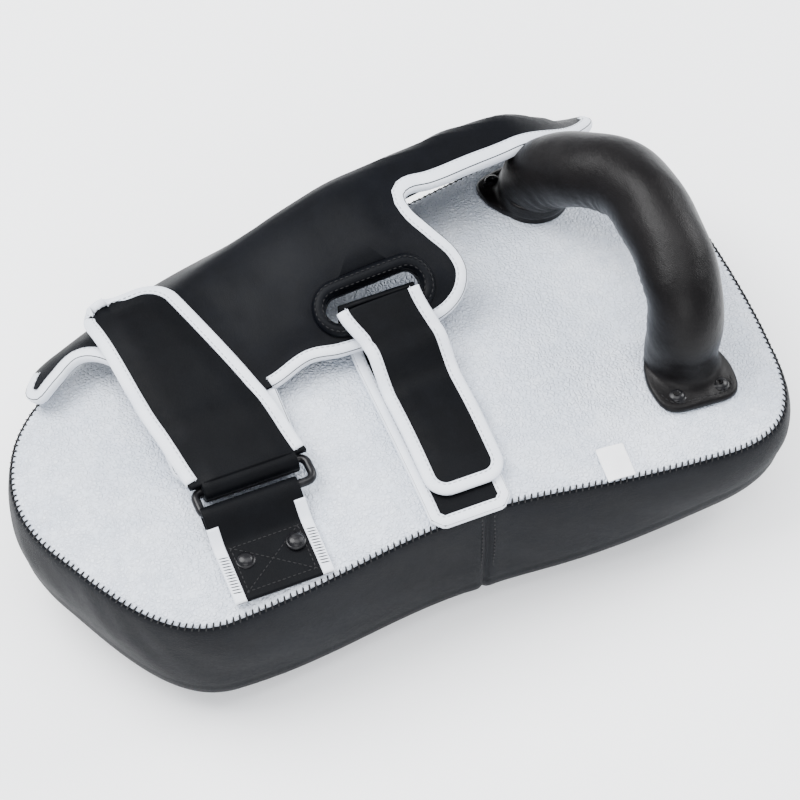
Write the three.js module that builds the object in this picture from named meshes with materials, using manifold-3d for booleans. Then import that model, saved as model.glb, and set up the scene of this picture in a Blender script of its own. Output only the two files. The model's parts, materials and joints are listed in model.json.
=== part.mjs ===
// Thai pad: a thick foam pad held on the forearm by a padded cuff, two straps and a grip handle.
// Frame: millimetres, +Z up. The origin is the middle of the striking face, which lies on z = 0.
// +X runs from the elbow end to the handle end, +Y from the strap side to the cuff's sewn side.
import * as THREE from "three";
import { mergeVertices } from "three/addons/utils/BufferGeometryUtils.js";
import Module from "manifold-3d";

const wasm = await Module();
wasm.setup();

// ---- Driving dimensions ----
const HALF_LENGTH = 195;
const HALF_WIDTH = 101;
const WAIST = 9;
const THICKNESS = 84;
const ELBOW_DROP = 5;
const HANDLE_DROP = 11;
const CROWN = 7;
const SOLE_RISE = { handle: 17, elbow: 13 };
const EDGE_RADIUS = 26;
const LEATHER = 2.5;
const FIT = 0.3;
const OUTLINE_POINTS = 60;

const WALL_GAP = 0.9;
const CORE_TOP = 46;
const BOARD = 3;

const CUFF = {
  root: 99, free: 5, rootZ: 88, freeZ: 100.5,
};
const CUFF_SKIN = 1.8;
const CUFF_HALF = 4.1;
const BINDING = 5.5;
const SLOT = { x: 5, y: 30, length: 50, width: 13, rim: 7 };

const RING = { x: -87, nearY: -50, farY: -36, z: 97.6, length: 64, wire: 4.5 };
const ANCHOR = { x0: -113, x1: -70, y0: -95, y1: -56, ply: 1.8 };
const FLAP = { width: 60, topWidth: 46, foldWidth: 48, ply: 3.6, top: 80, slant: -0.215 };
const WRIST = { x: 11, width: 38, ply: 2.6, end: -89, sewn: -88 };
const GRIP = { radius: 17.5, skin: 1.6, foam: 6.5, axisZ: 93 };
const FOOT_NEAR = new THREE.Vector3(143.3, -43.8, GRIP.axisZ);
const FOOT_FAR = new THREE.Vector3(117, 71, GRIP.axisZ);
const TAB = { length: 42, width: 36, ply: 3.4 };

// ---- Colours ----
const FINISH = {
  black: { color: 0x151516, roughness: 0.45, metalness: 0 },
  white: { color: 0xe9ecef, roughness: 0.5, metalness: 0 },
  foam: { color: 0x3c3d40, roughness: 0.9, metalness: 0 },
  softFoam: { color: 0xc9c4b4, roughness: 0.95, metalness: 0 },
  board: { color: 0x8a6a45, roughness: 0.8, metalness: 0 },
  webbing: { color: 0x1d1d1f, roughness: 0.85, metalness: 0 },
  steel: { color: 0x9aa0a6, roughness: 0.3, metalness: 1 },
  blackSteel: { color: 0x18181a, roughness: 0.35, metalness: 0.8 },
  label: { color: 0xf4f4f2, roughness: 0.7, metalness: 0 },
};

const product = new THREE.Group();
product.name = "thai_pad";

function addPiece(name, geometry, finish) {
  const mesh = new THREE.Mesh(geometry, new THREE.MeshStandardMaterial(FINISH[finish]));
  mesh.name = name;
  product.add(mesh);
}

// ---- Solid helpers ----
function toManifold(geometry) {
  const bare = new THREE.BufferGeometry();
  bare.setAttribute("position", geometry.getAttribute("position").clone());
  if (geometry.index) bare.setIndex(geometry.index.clone());
  const merged = mergeVertices(bare, 1e-4);
  return new wasm.Manifold(new wasm.Mesh({
    numProp: 3,
    vertProperties: new Float32Array(merged.getAttribute("position").array),
    triVerts: new Uint32Array(merged.index.array),
  }));
}

function toGeometry(solid) {
  const mesh = solid.getMesh();
  const geometry = new THREE.BufferGeometry();
  geometry.setAttribute("position", new THREE.BufferAttribute(new Float32Array(mesh.vertProperties), 3));
  geometry.setIndex(new THREE.BufferAttribute(new Uint32Array(mesh.triVerts), 1));
  return geometry;
}

// Closed solid from a list of loops of equal length, skinned in order; open ends are fanned to a centre.
function skinLoops(loops, ring) {
  const count = loops[0].length;
  const points = loops.flat();
  const faces = [];
  const rows = ring ? loops.length : loops.length - 1;
  for (let row = 0; row < rows; row++) {
    const a = row * count;
    const b = ((row + 1) % loops.length) * count;
    for (let i = 0; i < count; i++) {
      const j = (i + 1) % count;
      faces.push(a + i, a + j, b + j, a + i, b + j, b + i);
    }
  }
  if (!ring) {
    for (const [row, flip] of [[0, true], [loops.length - 1, false]]) {
      const middle = new THREE.Vector3();
      loops[row].forEach((point) => middle.addScaledVector(point, 1 / count));
      points.push(middle);
      for (let i = 0; i < count; i++) {
        const a = row * count + i;
        const b = row * count + ((i + 1) % count);
        faces.push(...(flip ? [b, a, points.length - 1] : [a, b, points.length - 1]));
      }
    }
  }
  const geometry = new THREE.BufferGeometry();
  geometry.setAttribute("position", new THREE.Float32BufferAttribute(points.flatMap((p) => p.toArray()), 3));
  geometry.setIndex(faces);
  return geometry;
}

// Slab between two height functions over a rectangle, as a regular grid.
function slab(low, high, box, step) {
  const columns = Math.max(2, Math.round((box.x1 - box.x0) / step));
  const rows = Math.max(2, Math.round((box.y1 - box.y0) / step));
  const loops = [];
  const grid = (height) => {
    const out = [];
    for (let r = 0; r <= rows; r++) {
      for (let c = 0; c <= columns; c++) {
        const x = box.x0 + ((box.x1 - box.x0) * c) / columns;
        const y = box.y0 + ((box.y1 - box.y0) * r) / rows;
        out.push(new THREE.Vector3(x, y, height(x, y)));
      }
    }
    return out;
  };
  const points = [...grid(high), ...grid(low)];
  const half = points.length / 2;
  const faces = [];
  const at = (r, c) => r * (columns + 1) + c;
  for (let r = 0; r < rows; r++) {
    for (let c = 0; c < columns; c++) {
      const [a, b, d, e] = [at(r, c), at(r, c + 1), at(r + 1, c + 1), at(r + 1, c)];
      faces.push(a, b, d, a, d, e);
      faces.push(a + half, d + half, b + half, a + half, e + half, d + half);
    }
  }
  for (let c = 0; c < columns; c++) loops.push([at(0, c + 1), at(0, c)], [at(rows, c), at(rows, c + 1)]);
  for (let r = 0; r < rows; r++) loops.push([at(r, 0), at(r + 1, 0)], [at(r + 1, columns), at(r, columns)]);
  for (const [a, b] of loops) faces.push(a, b, b + half, a, b + half, a + half);
  const geometry = new THREE.BufferGeometry();
  geometry.setAttribute("position", new THREE.Float32BufferAttribute(points.flatMap((p) => p.toArray()), 3));
  geometry.setIndex(faces);
  return toManifold(geometry);
}

// Tall upright prism over a closed plan outline.
function prism(points) {
  const apart = points.filter((p, i) => p.distanceTo(points[(i + 1) % points.length]) > 0.05);
  const shape = new THREE.Shape(apart);
  const geometry = new THREE.ExtrudeGeometry(shape, { depth: 400, bevelEnabled: false, curveSegments: 1 });
  geometry.translate(0, 0, -150);
  return toManifold(geometry);
}

// Draw a closed outline inwards in short steps, relaxing it a little so tight corners stay clean.
function inset(points, distance) {
  const count = points.length;
  const steps = Math.max(1, Math.ceil(distance / 5));
  let ring = points;
  for (let step = 0; step < steps; step++) {
    const relax = steps > 2 ? 0.2 : 0;
    ring = ring.map((point, i) => {
      const [next, last] = [ring[(i + 1) % count], ring[(i + count - 1) % count]];
      const along = next.clone().sub(last).normalize();
      const middle = next.clone().add(last).multiplyScalar(0.5);
      const spot = point.clone().lerp(middle, relax);
      return spot.add(new THREE.Vector2(-along.y, along.x).multiplyScalar(distance / steps));
    });
  }
  return ring;
}

// Inset for outlines with narrow parts: points that fall too near the edge are dropped.
function insetClean(points, distance) {
  const nearest = (spot) => Math.min(...points.map((point, i) => {
    const next = points[(i + 1) % points.length];
    const span = next.clone().sub(point);
    const along = THREE.MathUtils.clamp(spot.clone().sub(point).dot(span) / span.lengthSq(), 0, 1);
    return point.clone().addScaledVector(span, along).distanceTo(spot);
  }));
  return inset(points, distance).filter((spot) => nearest(spot) > distance * 0.97);
}

function rounded(x0, y0, x1, y1, radius) {
  const shape = new THREE.Shape();
  shape.absarc(x1 - radius, y0 + radius, radius, -Math.PI / 2, 0);
  shape.absarc(x1 - radius, y1 - radius, radius, 0, Math.PI / 2);
  shape.absarc(x0 + radius, y1 - radius, radius, Math.PI / 2, Math.PI);
  shape.absarc(x0 + radius, y0 + radius, radius, Math.PI, Math.PI * 1.5);
  const points = shape.extractPoints(4).shape;
  return THREE.ShapeUtils.isClockWise(points) ? points.reverse() : points;
}

function boxSolid(x0, x1, y0, y1, z0, z1) {
  const geometry = new THREE.BoxGeometry(x1 - x0, y1 - y0, z1 - z0);
  geometry.translate((x0 + x1) / 2, (y0 + y1) / 2, (z0 + z1) / 2);
  return toManifold(geometry);
}

function postSolid(x, y, z0, z1, bottomRadius, topRadius, sides = 14) {
  const geometry = new THREE.CylinderGeometry(topRadius, bottomRadius, z1 - z0, sides);
  geometry.rotateX(Math.PI / 2);
  geometry.translate(x, y, (z0 + z1) / 2);
  return toManifold(geometry);
}

// ---- Pad surfaces ----
const smooth = (value, from, to) => THREE.MathUtils.smoothstep(value, from, to);

function seamZ(x) {
  const elbow = ELBOW_DROP * (1 - smooth(x, -HALF_LENGTH - 10, -40));
  const handle = HANDLE_DROP * smooth(x, 10, HALF_LENGTH + 10);
  return THICKNESS - elbow - handle;
}

// How far the pad reaches out on the side where the cuff is sewn on.
function sewnEdge(x) {
  return 97.5 - 40 * smooth(-x, 30, 205) ** 1.3 + 19.5 * smooth(x, 20, 135);
}

function panelZ(x, y) {
  const edge = y > 0 ? sewnEdge(x) : HALF_WIDTH;
  const reach = (Math.abs(x / HALF_LENGTH) ** 4 + Math.abs(y / edge) ** 4) ** 0.25;
  return seamZ(x) + CROWN * (1 - reach ** 3);
}

function soleZ(x) {
  return SOLE_RISE.handle * smooth(x, 45, 220) + SOLE_RISE.elbow * smooth(-x, 85, 225);
}

function padOutline() {
  const shape = new THREE.Shape();
  const [a, b] = [HALF_LENGTH, HALF_WIDTH];
  shape.moveTo(5, -b + WAIST);
  shape.bezierCurveTo(50, -b + WAIST, 70, -b, 140, -b);
  shape.bezierCurveTo(178, -b, a - 5, -b + 16, a - 3, -b + 54);
  shape.bezierCurveTo(a, -20, a, 20, a - 3, 47);
  shape.bezierCurveTo(a - 3, 98, 178, 117, 140, 117);
  shape.bezierCurveTo(100, 117, 60, 97, 5, 97);
  shape.bezierCurveTo(-35, 97, -70, 97, -100, 87);
  shape.bezierCurveTo(-128, 78, -166, 66, -184, 38);
  shape.bezierCurveTo(-199, 14, -199, -10, -185, -36);
  shape.bezierCurveTo(-172, -62, -155, -b, -120, -b);
  shape.bezierCurveTo(-60, -b, -40, -b + WAIST, 5, -b + WAIST);
  return shape.getSpacedPoints(OUTLINE_POINTS).slice(0, -1);
}

const OUTLINE = padOutline();
const FULL = { x0: -HALF_LENGTH - 8, x1: HALF_LENGTH + 8, y0: -HALF_WIDTH - 8, y1: 126 };

// One loop of the pad's outline, drawn in by a distance and set at a height.
function loopAt(distance, height) {
  return inset(OUTLINE, distance).map((p) => new THREE.Vector3(p.x, p.y, height(p.x, p.y)));
}

// Rounded lower edge: loops from the underside up to the side wall, outside or inside the leather.
function edgeLoops(depth, steps) {
  const loops = [];
  for (let i = 0; i <= steps; i++) {
    const angle = (Math.PI / 2) * (i / steps);
    const distance = EDGE_RADIUS - (EDGE_RADIUS - depth) * Math.sin(angle);
    const rise = EDGE_RADIUS - (EDGE_RADIUS - depth) * Math.cos(angle);
    loops.push(loopAt(distance, (x) => soleZ(x) + rise));
  }
  return loops;
}

// ---- Pad body ----
const SOLE_INSET = EDGE_RADIUS + 6;

function buildGusset() {
  const wallTop = (x, y) => panelZ(x, y) - LEATHER - WALL_GAP;
  const outer = [loopAt(SOLE_INSET, soleZ), ...edgeLoops(0, 6), loopAt(0, wallTop)];
  const inner = [loopAt(LEATHER, wallTop), ...edgeLoops(LEATHER, 5).reverse()];
  inner.push(loopAt(SOLE_INSET, (x) => soleZ(x) + LEATHER));
  const ring = toManifold(skinLoops([...outer, ...inner], true));
  const far = 400;
  const elbowHalf = boxSolid(-far, 15 - FIT / 2, -far, far, -far, far);
  const handleHalf = boxSolid(15 + FIT / 2, far, -far, far, -far, far);
  addPiece("gusset_elbow", toGeometry(ring.intersect(elbowHalf)), "black");
  addPiece("gusset_handle", toGeometry(ring.intersect(handleHalf)), "black");
}

function buildFoam() {
  const gap = LEATHER + 0.7;
  const flatTop = () => CORE_TOP;
  const lower = edgeLoops(gap, 5);
  lower.unshift(loopAt(SOLE_INSET + 30, (x) => soleZ(x) + gap), loopAt(SOLE_INSET, (x) => soleZ(x) + gap));
  const core = skinLoops([...lower, loopAt(gap, flatTop), loopAt(SOLE_INSET + 30, flatTop)], false);
  addPiece("foam_core", core, "foam");
  const rim = prism(inset(OUTLINE, gap));
  const split = 66;
  const softLow = slab(() => CORE_TOP + FIT, () => split, FULL, 60);
  addPiece("foam_back_layer", toGeometry(softLow.intersect(rim)), "softFoam");
  const padTop = (x, y) => panelZ(x, y) - LEATHER - BOARD - 2 * FIT;
  const crownLayer = slab(() => split + FIT, padTop, FULL, 24).intersect(rim);
  return crownLayer;
}

const fastenerHoles = [];
const bolts = [];
const rivets = [];

function planBolts() {
  const along = FOOT_FAR.clone().sub(FOOT_NEAR).normalize();
  const aside = new THREE.Vector3(-along.y, along.x, 0);
  for (const [foot, tag, reach] of [[FOOT_NEAR, "near", -21], [FOOT_FAR, "far", 20]]) {
    for (const [side, end] of [[12, "elbow"], [-12, "end"]]) {
      const spot = foot.clone().addScaledVector(along, reach).addScaledVector(aside, side);
      bolts.push({ name: `bolt_${tag}_${end}`, x: spot.x, y: spot.y, shank: 2.4, head: 5.2 });
    }
  }
  rivets.push({ name: "rivet_elbow", x: ANCHOR.x0 + 8.5, y: -76, shank: 1.8, head: 4.8 });
  rivets.push({ name: "rivet_handle", x: ANCHOR.x1 - 8.5, y: -76, shank: 1.8, head: 4.8 });
}

function holesThrough(solid, extra) {
  let result = solid;
  for (const item of [...bolts, ...rivets]) {
    result = result.subtract(postSolid(item.x, item.y, -50, 200, item.shank + extra, item.shank + extra, 12));
  }
  return result;
}

// Domed head above a plate, plain shank and a flat keeper below the stiffening board.
function addFastener(item, seatZ, finish) {
  const keeperZ = panelZ(item.x, item.y) - LEATHER - BOARD - 3.2;
  const head = postSolid(item.x, item.y, seatZ, seatZ + 1.2, item.head, item.head)
    .add(postSolid(item.x, item.y, seatZ + 1.1, seatZ + 2.4, item.head, item.head * 0.45));
  const shank = postSolid(item.x, item.y, keeperZ, seatZ + 0.5, item.shank, item.shank, 12);
  const keeper = postSolid(item.x, item.y, keeperZ - 1.2, keeperZ + 0.1, item.head, item.head);
  addPiece(item.name, toGeometry(head.add(shank).add(keeper)), finish);
}

function buildPanel(crownLayer) {
  const panel = slab((x, y) => panelZ(x, y) - LEATHER, panelZ, FULL, 24).intersect(prism(OUTLINE));
  addPiece("back_panel", toGeometry(holesThrough(panel, FIT)), "white");
  const low = (x, y) => panelZ(x, y) - LEATHER - BOARD - FIT;
  const high = (x, y) => panelZ(x, y) - LEATHER - WALL_GAP;
  const board = slab(low, high, FULL, 24).intersect(prism(inset(OUTLINE, 8)));
  addPiece("backing_board", toGeometry(holesThrough(board, FIT)), "board");
  let crown = crownLayer;
  for (const item of [...bolts, ...rivets]) {
    const top = panelZ(item.x, item.y) + 5;
    crown = crown.subtract(postSolid(item.x, item.y, top - 20, top, item.head + 1, item.head + 1, 12));
  }
  addPiece("foam_top_layer", toGeometry(crown), "softFoam");
  const sole = slab(soleZ, (x) => soleZ(x) + LEATHER, FULL, 26);
  addPiece("striking_face", toGeometry(sole.intersect(prism(inset(OUTLINE, SOLE_INSET + FIT)))), "black");
}

// ---- Cuff ----
function cuffZ(x, y) {
  const root = sewnEdge(x) + CUFF.root - 97.5;
  const run = THREE.MathUtils.clamp((root - y) / (root - CUFF.free), 0, 1);
  const elbow = 4 + 9 * smooth(x, -175, -115);
  const bulge = elbow + 19 * smooth(x, -95, 35) - 28 * smooth(x, 105, 176);
  const endDrop = 13 * smooth(-x, 146, 184) ** 1.5;
  const rootZ = CUFF.rootZ - 8 * smooth(x, 40, 165);
  const line = THREE.MathUtils.lerp(rootZ, CUFF.freeZ, run);
  return line + bulge * Math.sin(Math.PI * run ** 0.55) - endDrop;
}

// Offsets measured square to the cuff's surface, turned into heights.
function cuffOffset(distance) {
  return (x, y) => {
    const slopeX = (cuffZ(x + 1, y) - cuffZ(x - 1, y)) / 2;
    const slopeY = (cuffZ(x, y + 1) - cuffZ(x, y - 1)) / 2;
    return cuffZ(x, y) + distance * Math.min(1.8, Math.sqrt(1 + slopeX ** 2 + slopeY ** 2));
  };
}

// The cuff stands out past its sewn edge as it rises.
function leanOut(geometry) {
  const position = geometry.getAttribute("position");
  for (let i = 0; i < position.count; i++) {
    const [x, y, z] = [position.getX(i), position.getY(i), position.getZ(i)];
    const along = smooth(x, -120, 30) * (1 - 0.6 * smooth(x, 70, 150));
    position.setY(i, y + 16 * along * smooth(z, 92, 130) * smooth(y, 30, 100));
  }
  return geometry;
}

const CUFF_PLAN = [
  [-150, 70], [-162, 65], [-169, 56], [-165, 48], [-154, 51], [-141, 56], [-130, 49], [-120, 27], [-118, 5],
  [-104, 4], [-70, 4], [-56, 6], [-36, 12], [-21, 10], [-5, 9.5], [11, 9.4], [28, 10], [41, 13.5], [50, 20],
  [54.5, 29], [53, 39], [45.5, 50], [39.5, 59], [39, 65], [44, 67.4], [55, 67.4], [70, 69], [85, 71.5],
  [108, 76.5], [134, 87], [152, 100], [163, 111], [160, 117], [150, 118.5], [140, 118.5], [110, 116],
  [78, 109], [45, 101.5], [5, 99], [-30, 99], [-60, 97.6], [-100, 88.7], [-125, 80],
];

function cuffOutline() {
  const knots = CUFF_PLAN.map(([x, y]) => new THREE.Vector3(x, y, 0));
  const curve = new THREE.CatmullRomCurve3(knots, true, "centripetal");
  return curve.getSpacedPoints(82).slice(0, -1).map((p) => new THREE.Vector2(p.x, p.y));
}

function oblong(x, y, length, width) {
  return rounded(x - length / 2, y - width / 2, x + length / 2, y + width / 2, width / 2 - 0.01);
}

function buildCuff() {
  const outline = cuffOutline();
  const whole = prism(outline);
  const body = prism(insetClean(outline, BINDING + FIT)).intersect(boxSolid(-148, 146, -300, 300, -300, 300));
  let bodyHole = body;
  for (const [x, y] of [[1, 1], [1, -1], [-1, 1], [-1, -1]]) {
    bodyHole = bodyHole.add(body.translate([x * 0.5, y * 0.5, 0]));
  }
  const slot = prism(oblong(SLOT.x, SLOT.y, SLOT.length, SLOT.width));
  const box = { x0: -178, x1: 172, y0: 0, y1: 124 };
  const layer = (low, high) => slab(cuffOffset(low), cuffOffset(high), box, 15);
  const inner = CUFF_HALF - CUFF_SKIN;
  const pieces = [
    ["cuff_outer", inner, CUFF_HALF, "black"],
    ["cuff_padding", -inner + 2 * FIT, inner - 2 * FIT, "softFoam"],
    ["cuff_lining", -CUFF_HALF, -inner, "black"],
  ];
  for (const [name, low, high, finish] of pieces) {
    addPiece(name, leanOut(toGeometry(layer(low, high).intersect(body).subtract(slot))), finish);
  }
  const binding = layer(-CUFF_HALF - 0.4, CUFF_HALF + 0.4).intersect(whole).subtract(bodyHole);
  addPiece("cuff_binding", leanOut(toGeometry(binding)), "white");
  const rimBox = { x0: SLOT.x - 36, x1: SLOT.x + 36, y0: SLOT.y - 18, y1: SLOT.y + 18 };
  const rimOuter = prism(oblong(SLOT.x, SLOT.y, SLOT.length + 2 * SLOT.rim, SLOT.width + 2 * SLOT.rim));
  const rim = slab(cuffOffset(CUFF_HALF + 0.5), cuffOffset(CUFF_HALF + 2.6), rimBox, 9);
  addPiece("slot_rim", leanOut(toGeometry(rim.intersect(rimOuter).subtract(slot))), "black");
}

// ---- Forearm strap, ring and anchor ----
function buildRing() {
  const half = RING.length / 2 - RING.wire / 2;
  const plan = rounded(RING.x - half, RING.nearY, RING.x + half, RING.farY, 4);
  const loops = plan.map((point, i) => {
    const next = plan[(i + 1) % plan.length];
    const last = plan[(i + plan.length - 1) % plan.length];
    const along = next.clone().sub(last).normalize();
    const out = new THREE.Vector3(along.y, -along.x, 0);
    const loop = [];
    for (let k = 0; k < 8; k++) {
      const angle = (k / 8) * Math.PI * 2;
      const spot = new THREE.Vector3(point.x, point.y, RING.z);
      spot.addScaledVector(out, (Math.cos(angle) * RING.wire) / 2);
      spot.z += (Math.sin(angle) * RING.wire) / 2;
      loop.push(spot);
    }
    return loop;
  });
  addPiece("ring", skinLoops(loops.reverse(), true), "blackSteel");
}

// Extrude a (y, z) profile across a width in x.
function acrossX(profile, x0, x1) {
  const shape = new THREE.Shape(profile.map(([y, z]) => new THREE.Vector2(y, z)));
  const settings = { depth: x1 - x0, bevelEnabled: false, curveSegments: 1 };
  const geometry = new THREE.ExtrudeGeometry(shape, settings);
  geometry.applyMatrix4(new THREE.Matrix4().makeBasis(
    new THREE.Vector3(0, 1, 0), new THREE.Vector3(0, 0, 1), new THREE.Vector3(1, 0, 0)));
  geometry.translate(x0, 0, 0);
  return toManifold(geometry);
}

function arcProfile(y, z, radius, from, to, steps) {
  const points = [];
  for (let i = 0; i <= steps; i++) {
    const angle = THREE.MathUtils.degToRad(from + ((to - from) * i) / steps);
    points.push([y + radius * Math.cos(angle), z + radius * Math.sin(angle)]);
  }
  return points;
}

function buildAnchor() {
  const hole = RING.wire / 2 + 0.5;
  const wrap = hole + ANCHOR.ply;
  const eye = arcProfile(RING.nearY, RING.z, wrap, -100, 215, 14);
  const bore = arcProfile(RING.nearY, RING.z, hole, 0, 360, 16).slice(0, -1);
  const [x0, x1] = [ANCHOR.x0 + 1, ANCHOR.x1 - 1];
  const loop = acrossX(eye, x0, x1);
  const web = acrossX([
    [RING.nearY + 1, RING.z - wrap + 0.2], [RING.nearY + 1, RING.z - 1], [RING.nearY - 4, RING.z + 1],
    [ANCHOR.y1 - 2, panelZ(-90, ANCHOR.y1) + 3.6], [ANCHOR.y1 - 2, panelZ(-90, ANCHOR.y1) + 1.2],
  ], x0, x1);
  const box = { x0: ANCHOR.x0, x1: ANCHOR.x1, y0: ANCHOR.y0, y1: ANCHOR.y1 };
  const patch = slab((x, y) => panelZ(x, y) + 0.5, (x, y) => panelZ(x, y) + 0.5 + 2 * ANCHOR.ply, box, 9);
  const solid = patch.intersect(prism(rounded(box.x0, box.y0, box.x1, box.y1, 2)))
    .add(loop).add(web).subtract(acrossX(bore, x0 - 5, x1 + 5));
  addPiece("anchor_strap", toGeometry(holesThrough(solid, FIT)), "webbing");
  for (const item of rivets) addFastener(item, panelZ(item.x, item.y) + 1.3 + 2 * ANCHOR.ply, "steel");
}

// The strap's middle drifts towards the elbow as it runs over the cuff.
const flapX = (y) => RING.x + FLAP.slant * (y - RING.farY);
const flapHalf = (y) => THREE.MathUtils.lerp(FLAP.width, FLAP.topWidth, smooth(y, -10, FLAP.top)) / 2;
const FOLD = RING.wire / 2 + 0.5;

function flapZ(x, y) {
  const low = RING.z + FOLD + FLAP.ply / 2;
  const onCuff = cuffOffset(CUFF_HALF + 3.6 + FLAP.ply / 2)(x, Math.max(y, CUFF.free));
  const climb = smooth(y, RING.farY, CUFF.free - 8);
  return THREE.MathUtils.lerp(low, onCuff, climb);
}

// Plan of the upper flap, drawn in by a distance: straight at the ring, rounded at its far end.
function flapOutline(extra) {
  const corner = 15 - extra * 0.6;
  const top = FLAP.top - extra;
  const right = [];
  for (let i = 0; i <= 10; i++) {
    const y = RING.farY + ((top - corner - RING.farY) * i) / 10;
    right.push([y, flapHalf(y) - extra]);
  }
  for (let i = 1; i <= 5; i++) {
    const angle = (Math.PI / 2) * (i / 5);
    const y = top - corner + corner * Math.sin(angle);
    right.push([y, flapHalf(y) - extra - corner * (1 - Math.cos(angle))]);
  }
  const side = (sign) => right.map(([y, half]) => new THREE.Vector2(flapX(y) + sign * half, y));
  return [...side(1), ...side(-1).reverse()];
}

function buildForearmStrap() {
  const whole = flapOutline(0);
  const body = flapOutline(BINDING + FIT);
  const box = { x0: -150, x1: -45, y0: RING.farY, y1: FLAP.top + 2 };
  const layer = (low, high) => slab((x, y) => flapZ(x, y) + low, (x, y) => flapZ(x, y) + high, box, 10);
  const half = FLAP.ply / 2;
  const side = FLAP.foldWidth / 2;
  const fold = acrossX(
    [
      ...arcProfile(RING.farY, RING.z, FOLD + FLAP.ply - 0.4, 180, 78, 6),
      ...arcProfile(RING.farY, RING.z, FOLD + 0.4, 78, 180, 6),
    ],
    RING.x - side, RING.x + side);
  const flap = layer(-half, half).intersect(prism(body)).add(fold);
  addPiece("forearm_flap", leanOut(toGeometry(flap)), "black");
  const edge = prism(whole).subtract(prism(flapOutline(BINDING)))
    .subtract(boxSolid(-200, 0, -100, RING.farY + 8, -200, 400));
  const trim = layer(-half - 0.3, half + 0.3).intersect(edge);
  addPiece("forearm_flap_binding", leanOut(toGeometry(trim)), "white");
  const tongueZ = (x, y) => {
    const low = RING.z - FOLD - FLAP.ply / 2;
    return THREE.MathUtils.lerp(low, CUFF.freeZ, smooth(y, RING.farY, CUFF.free + 12));
  };
  const tongueBox = { x0: RING.x - 32, x1: RING.x + 32, y0: RING.farY, y1: 3.2 };
  const tongueShape = [[side, RING.farY], [side, RING.farY + 6], [29, -22], [29, 3.2],
    [-29, 3.2], [-29, -22], [-side, RING.farY + 6], [-side, RING.farY]]
    .map(([x, y]) => new THREE.Vector2(RING.x + x, y));
  const run = slab((x, y) => tongueZ(x, y) - half, (x, y) => tongueZ(x, y) + half, tongueBox, 9);
  const hook = acrossX(
    [
      ...arcProfile(RING.farY, RING.z, FOLD + FLAP.ply, 270, 182, 6),
      ...arcProfile(RING.farY, RING.z, FOLD, 182, 270, 6),
    ],
    RING.x - side, RING.x + side);
  addPiece("forearm_tongue", toGeometry(run.intersect(prism(tongueShape)).add(hook)), "black");
}

// ---- Wrist strap ----
function runZ(x, y) {
  const low = panelZ(x, Math.min(y, 0)) + 0.5 + WRIST.ply / 2;
  const high = cuffOffset(-CUFF_HALF - 1.2 - WRIST.ply / 2)(x, Math.max(y, CUFF.free));
  return Math.max(low, THREE.MathUtils.lerp(low, high, smooth(y, -26, 20)));
}

// Plan of the wrist flap: rounded at its free end, and drawn over to the slot at its root.
function wristOutline(extra) {
  const half = WRIST.width / 2 - extra;
  const corner = Math.max(3, 11 - extra);
  const low = WRIST.end + extra;
  const right = [];
  for (let i = 0; i < 5; i++) {
    const angle = (Math.PI / 2) * (i / 5);
    right.push([low + corner * (1 - Math.cos(angle)), half - corner * (1 - Math.sin(angle))]);
  }
  for (let i = 0; i <= 12; i++) right.push([THREE.MathUtils.lerp(low + corner, SLOT.y + 14, i / 12), half]);
  const centre = (y) => THREE.MathUtils.lerp(WRIST.x, SLOT.x, smooth(y, -2, SLOT.y - 6));
  const side = (sign) => right.map(([y, reach]) => new THREE.Vector2(centre(y) + sign * reach, y));
  return [...side(1), ...side(-1).reverse()];
}

function buildWristStrap() {
  const [x0, x1] = [WRIST.x - WRIST.width / 2, WRIST.x + WRIST.width / 2];
  const half = WRIST.ply / 2;
  const runTop = SLOT.y + 2;
  const runBox = { x0: x0 + 1, x1: x1 - 1, y0: WRIST.sewn, y1: runTop };
  const run = slab((x, y) => runZ(x, y) - half, (x, y) => runZ(x, y) + half, runBox, 7);
  const slotEdge = SLOT.y - SLOT.width / 2;
  const overRim = cuffOffset(CUFF_HALF + 2.6)(WRIST.x, slotEdge);
  const riser = acrossX([
    [slotEdge + 0.8, runZ(WRIST.x, slotEdge + 1)], [slotEdge + 3.4, runZ(WRIST.x, slotEdge + 3)],
    [slotEdge + 3.4, overRim + 2.6], [slotEdge + 0.8, overRim + 2.6],
  ], SLOT.x - 16, SLOT.x + 16);
  addPiece("wrist_strap_run", leanOut(toGeometry(run.add(riser))), "black");
  const flapTop = slotEdge + 0.2;
  const onCuff = cuffOffset(CUFF_HALF + 3.2 + half);
  const height = (x, y) => {
    const low = panelZ(x, y) + 1.1 + WRIST.ply * 1.5;
    return THREE.MathUtils.lerp(low + 0.2, onCuff(x, Math.max(y, CUFF.free)), smooth(y, -22, CUFF.free + 1));
  };
  const box = { x0: x0 - 8, x1: x1 + 2, y0: WRIST.end - 3, y1: flapTop };
  const layer = (low, high) => slab((x, y) => height(x, y) + low, (x, y) => height(x, y) + high, box, 8);
  const body = wristOutline(BINDING + FIT);
  const whole = prism(wristOutline(0));
  const hole = prism(wristOutline(BINDING));
  addPiece("wrist_flap", leanOut(toGeometry(layer(-half, half).intersect(prism(body)))), "black");
  const trim = layer(-half - 0.3, half + 0.3).intersect(whole).subtract(hole);
  addPiece("wrist_flap_binding", leanOut(toGeometry(trim)), "white");
}

// ---- Handle ----
function handleCurve() {
  const [near, far] = [FOOT_NEAR, FOOT_FAR];
  return new THREE.CatmullRomCurve3([
    near.clone(),
    near.clone().add(new THREE.Vector3(1, 0, 16)),
    near.clone().add(new THREE.Vector3(4, 9, 31)),
    near.clone().add(new THREE.Vector3(8, 38, 42)),
    near.clone().add(new THREE.Vector3(5, 76, 42)),
    far.clone().add(new THREE.Vector3(14, -21, 31)),
    far.clone().add(new THREE.Vector3(3, -5, 15)),
    far.clone(),
  ], false, "centripetal");
}

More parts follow.
